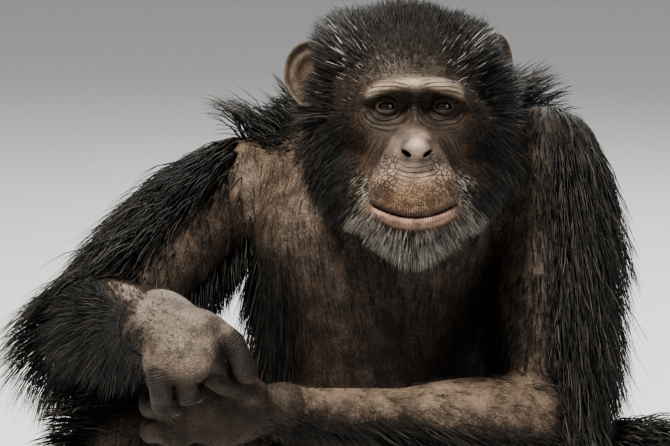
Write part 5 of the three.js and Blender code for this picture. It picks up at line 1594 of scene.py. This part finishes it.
skin_tint, mottle, ear_share = skin_looks(skin_points, skin_normals, SKIN_PARTS)
skin_tint = laid(skin_tint, ear_share * ear_rim(skin_points), (0.1, 0.075, 0.058))
rules = coat_rule(skin_points, skin_normals, SKIN_PARTS)
# Painted shade: where the coat is close and long, the skin under it is painted nearly black, for the shadow inside the
# coat.
under = ramp(rules[1], 0.35, 0.9) * ramp(rules[0], 10, 30) * (1 - ear_share)
skin_tint = laid(skin_tint, 0.85 * under, (0.014, 0.012, 0.011))
folds, details = np.zeros((len(skin_points), 3)), np.zeros((len(skin_points), 3))
facing = in_head(skin_points)
face_folds = face_fold(*head_uvw(skin_points[facing].T))
_, folds[facing, 0], folds[facing, 1], details[facing, 0], details[facing, 1] = face_folds
details[:, 2] = mottle * (1 - under)
for side in SIDES:
    here = SKIN_PARTS == PART_NAMES.index("hand_" + side)
    number, depth = hand_fold(skin_points[here], side)
    folds[here, 0], folds[here, 1], details[here, 0] = number, depth, 0.35
tinted(skin, skin_tint)
tinted(skin, folds, "fold")
tinted(skin, details, "detail")
print("skin tinted")

# %% [markdown]
# An eye is a ball with a clear bulge over the iris. Its white is dark brown in a chimpanzee.

# %% Eyes
BALL_ROUND, BALL_DEEP = 96, 72  # points round an eyeball, and from its front to its back


def eyeball(middle, radius, toward):
    """A ball by angle from its front and angle round it; the cornea stands 5 per cent further out."""
    turn, lean = np.meshgrid(np.linspace(0, 2 * np.pi, BALL_ROUND, endpoint=False),
                             np.linspace(0, np.pi, BALL_DEEP), indexing="ij")
    far = radius * (1 + 0.05 * np.clip(1 - (lean / 0.52) ** 2, 0, 1))
    side_way = unit(np.cross(toward, (0, 0, 1)))
    up_way = np.cross(side_way, toward)
    around = np.cos(turn)[..., None] * side_way + np.sin(turn)[..., None] * up_way
    at = np.cos(lean)[..., None] * toward + np.sin(lean)[..., None] * around
    points = (np.array(middle) + far[..., None] * at).reshape(-1, 3)
    number = np.arange(BALL_ROUND * BALL_DEEP).reshape(BALL_ROUND, BALL_DEEP)
    ahead = np.roll(number, -1, axis=0)
    return points, np.stack([number[:, :-1], number[:, 1:], ahead[:, 1:], ahead[:, :-1]], -1).reshape(-1, 4)


GAZE = unit((0.02, -1, 0.12))  # both eyes look at the camera


def eye_finish():
    made, shader, add, links = finish("wet_eye", 0.04, 0.6)
    place = add("TexCoord").outputs["Object"]
    tint = add("Attribute", attribute_name="tint").outputs["Color"]
    streaks = add("TexNoise", {"Vector": place, "Scale": 1400.0, "Detail": 3.0})
    share = add("MapRange", {"Value": streaks.outputs["Fac"], "From Min": 0.3, "From Max": 0.7,
                             "To Min": 0.6, "To Max": 1.5})
    colour = add("VectorMath", {0: tint, 1: share.outputs["Result"]}, operation="MULTIPLY")
    links.new(colour.outputs["Vector"], shader.inputs["Base Color"])
    return made


wet_eye = eye_finish()
for side in SIDES:
    middle = on_head(*EYES[side])
    ball = made_mesh("eyeball_" + side, *eyeball(middle, EYE_RADIUS - 0.15, GAZE))
    cleaned(ball)
    lean = np.arccos(np.clip(unit(arrays(ball.data)[0] - middle) @ GAZE, -1, 1))
    iris = 1 - ramp(lean, 0.40, 0.46)
    pupil = 1 - ramp(lean, 0.15, 0.19)
    colour = laid(np.tile((0.005, 0.0035, 0.003), (len(lean), 1)), iris, (0.017, 0.007, 0.003))
    tinted(ball, laid(colour, pupil, (0.001, 0.001, 0.001)))
    ball.data.materials.append(wet_eye)
    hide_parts("eye_" + side)
    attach(ball, "root")
    print("eye", side, len(ball.data.vertices), "points")

# %% [markdown]
# Nails are dark horny shells that ride on the last bone of each finger and toe: a rectangle of angle round the bone
# by distance along it, a little longer than the finger's round end. Two thirds of its 1.5 mm are sunk in the finger.

# %% Nails
NAIL_ROUND, NAIL_LONG = 15, 13  # points across a nail, and along it
SHEET = NAIL_ROUND * NAIL_LONG


def nail(tip, before, back, radius, length=10.5):
    """Upper face at radius + 0.55 and lower at radius - 1, over about 49 degrees each side of the back."""
    tip, before = np.asarray(tip, float), np.asarray(before, float)
    along = unit(tip - before)
    back = unit(back - (back @ along) * along)
    across = np.cross(along, back)
    turn, reach = np.meshgrid(np.linspace(-1, 1, NAIL_ROUND), np.linspace(0, 1, NAIL_LONG), indexing="ij")
    end = 1 - 0.16 * turn**2
    root = 0.12 * turn**2
    t = root + (end - root) * reach
    angle = 0.86 * turn * (0.93 + 0.07 * np.sin(np.pi * reach))
    sheets = []
    for lift in (0.55, -1.0):
        far = radius + lift + 0.35 * reach - 1.6 * np.clip(0.2 - reach, 0, 1)
        far = far - 0.5 * np.clip(np.abs(turn) - 0.85, 0, 1) / 0.15
        s = -length * 0.42 + length * t
        drop = np.clip(s, 0, None) ** 2 / (3.2 * radius)
        around = np.cos(angle)[..., None] * back + np.sin(angle)[..., None] * across
        at = tip + s[..., None] * along + (far - drop)[..., None] * around
        sheets.append(at.reshape(-1, 3))
    number = np.arange(SHEET).reshape(NAIL_ROUND, NAIL_LONG)
    top = np.stack([number[:-1, :-1], number[1:, :-1], number[1:, 1:], number[:-1, 1:]], -1).reshape(-1, 4)
    loop = np.concatenate([number[:-1, 0], number[-1, :-1], number[:0:-1, -1], number[0, :0:-1]])
    ahead = np.roll(loop, -1)
    rim = np.stack([loop, ahead, ahead + SHEET, loop + SHEET], 1)
    return np.concatenate(sheets), np.concatenate([top, top[:, ::-1] + SHEET, rim])


def nail_finish():
    made, shader, add, links = finish("dark_nail", 0.28, 0.5)
    place = add("TexCoord").outputs["Object"]
    ridges = add("TexNoise", {"Vector": place, "Scale": 500.0, "Detail": 3.0}).outputs["Fac"]
    ramp_node = add("ValToRGB", {"Fac": ridges})
    ramp_node.color_ramp.elements[0].position, ramp_node.color_ramp.elements[0].color = 0.35, (0.03, 0.022, 0.018, 1)
    ramp_node.color_ramp.elements[1].position, ramp_node.color_ramp.elements[1].color = 0.7, (0.16, 0.125, 0.1, 1)
    links.new(ramp_node.outputs["Color"], shader.inputs["Base Color"])
    relief = add("Bump", {"Height": ridges, "Strength": 0.3, "Distance": 0.0004})
    links.new(relief.outputs["Normal"], shader.inputs["Normal"])
    return made


LEFT_THUMB_BACK = np.array((-0.2, -0.25, 1.0))  # the bend of its bones is too slight to tell its back
dark_nail = nail_finish()
for side in SIDES:
    shells = []
    for name, (radii, joints) in HANDS[side]["digits"].items():
        p = np.array(joints, float)
        back = LEFT_THUMB_BACK if (side, name) == ("left", "thumb") else p[2] - (p[1] + p[3]) / 2
        shells.append(nail(p[3], p[2], back, radii[3], 11.5 if name == "thumb" else 10))
    for name, place in TOES.items():
        p, radii = toe_joints(side, place)
        shells.append(nail(p[-1], p[-2], np.array((0.0, 0.0, 1.0)), radii[-1], 9))
    counts = np.cumsum([0] + [len(points) for points, _ in shells])
    nails = made_mesh("nails_" + side, np.concatenate([points for points, _ in shells]),
                      np.concatenate([faces + n for (_, faces), n in zip(shells, counts)]))
    cleaned(nails)
    nails.data.materials.append(dark_nail)
    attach(nails, "root")
    print("nails", side, len(shells))

# %% [markdown]
# The floor is a plain pale sheet, and the light is one large soft panel high on the left, a weaker one on the right
# and a pale sky.

# %% Floor and light
bpy.ops.mesh.primitive_plane_add(size=60, location=(0, 0, 0))
floor = bpy.context.object
floor.name = "floor"
plain, shader, add, links = finish("pale_floor", 0.7, 0.2)
grain = add("TexNoise", {"Vector": add("TexCoord").outputs["Object"], "Scale": 30.0})
shade = add("MapRange", {"Value": grain.outputs["Fac"], "To Min": 0.74, "To Max": 0.8})
links.new(shade.outputs["Result"], shader.inputs["Base Color"])
floor.data.materials.append(plain)


def panel(name, place, aim, width, power, tone=(1, 1, 1)):
    light = bpy.data.lights.new(name, "AREA")
    light.shape, light.size, light.energy = "DISK", width, power
    made = bpy.data.objects.new(name, light)
    made.location = place
    light.color = tone
    made.rotation_euler = (Vector(aim) - Vector(place)).to_track_quat("-Z", "Y").to_euler()
    bpy.context.collection.objects.link(made)


panel("key_light", (-0.9, -1.5, 3.0), (0, -0.2, 0.45), 0.9, 190, (1, 0.94, 0.85))
panel("fill_light", (2.4, -2.2, 1.4), (0, -0.2, 0.45), 1.8, 20)
panel("rim_light", (0.6, 2.2, 2.6), (0, 0, 0.5), 1.6, 70)
world = bpy.data.worlds.new("pale_sky")
bpy.context.scene.world = world
bpy.context.scene.view_settings.look = "AgX - Medium High Contrast"
world.use_nodes = True
world.node_tree.nodes["Background"].inputs["Color"].default_value = (0.86, 0.88, 0.9, 1)
world.node_tree.nodes["Background"].inputs["Strength"].default_value = 0.36
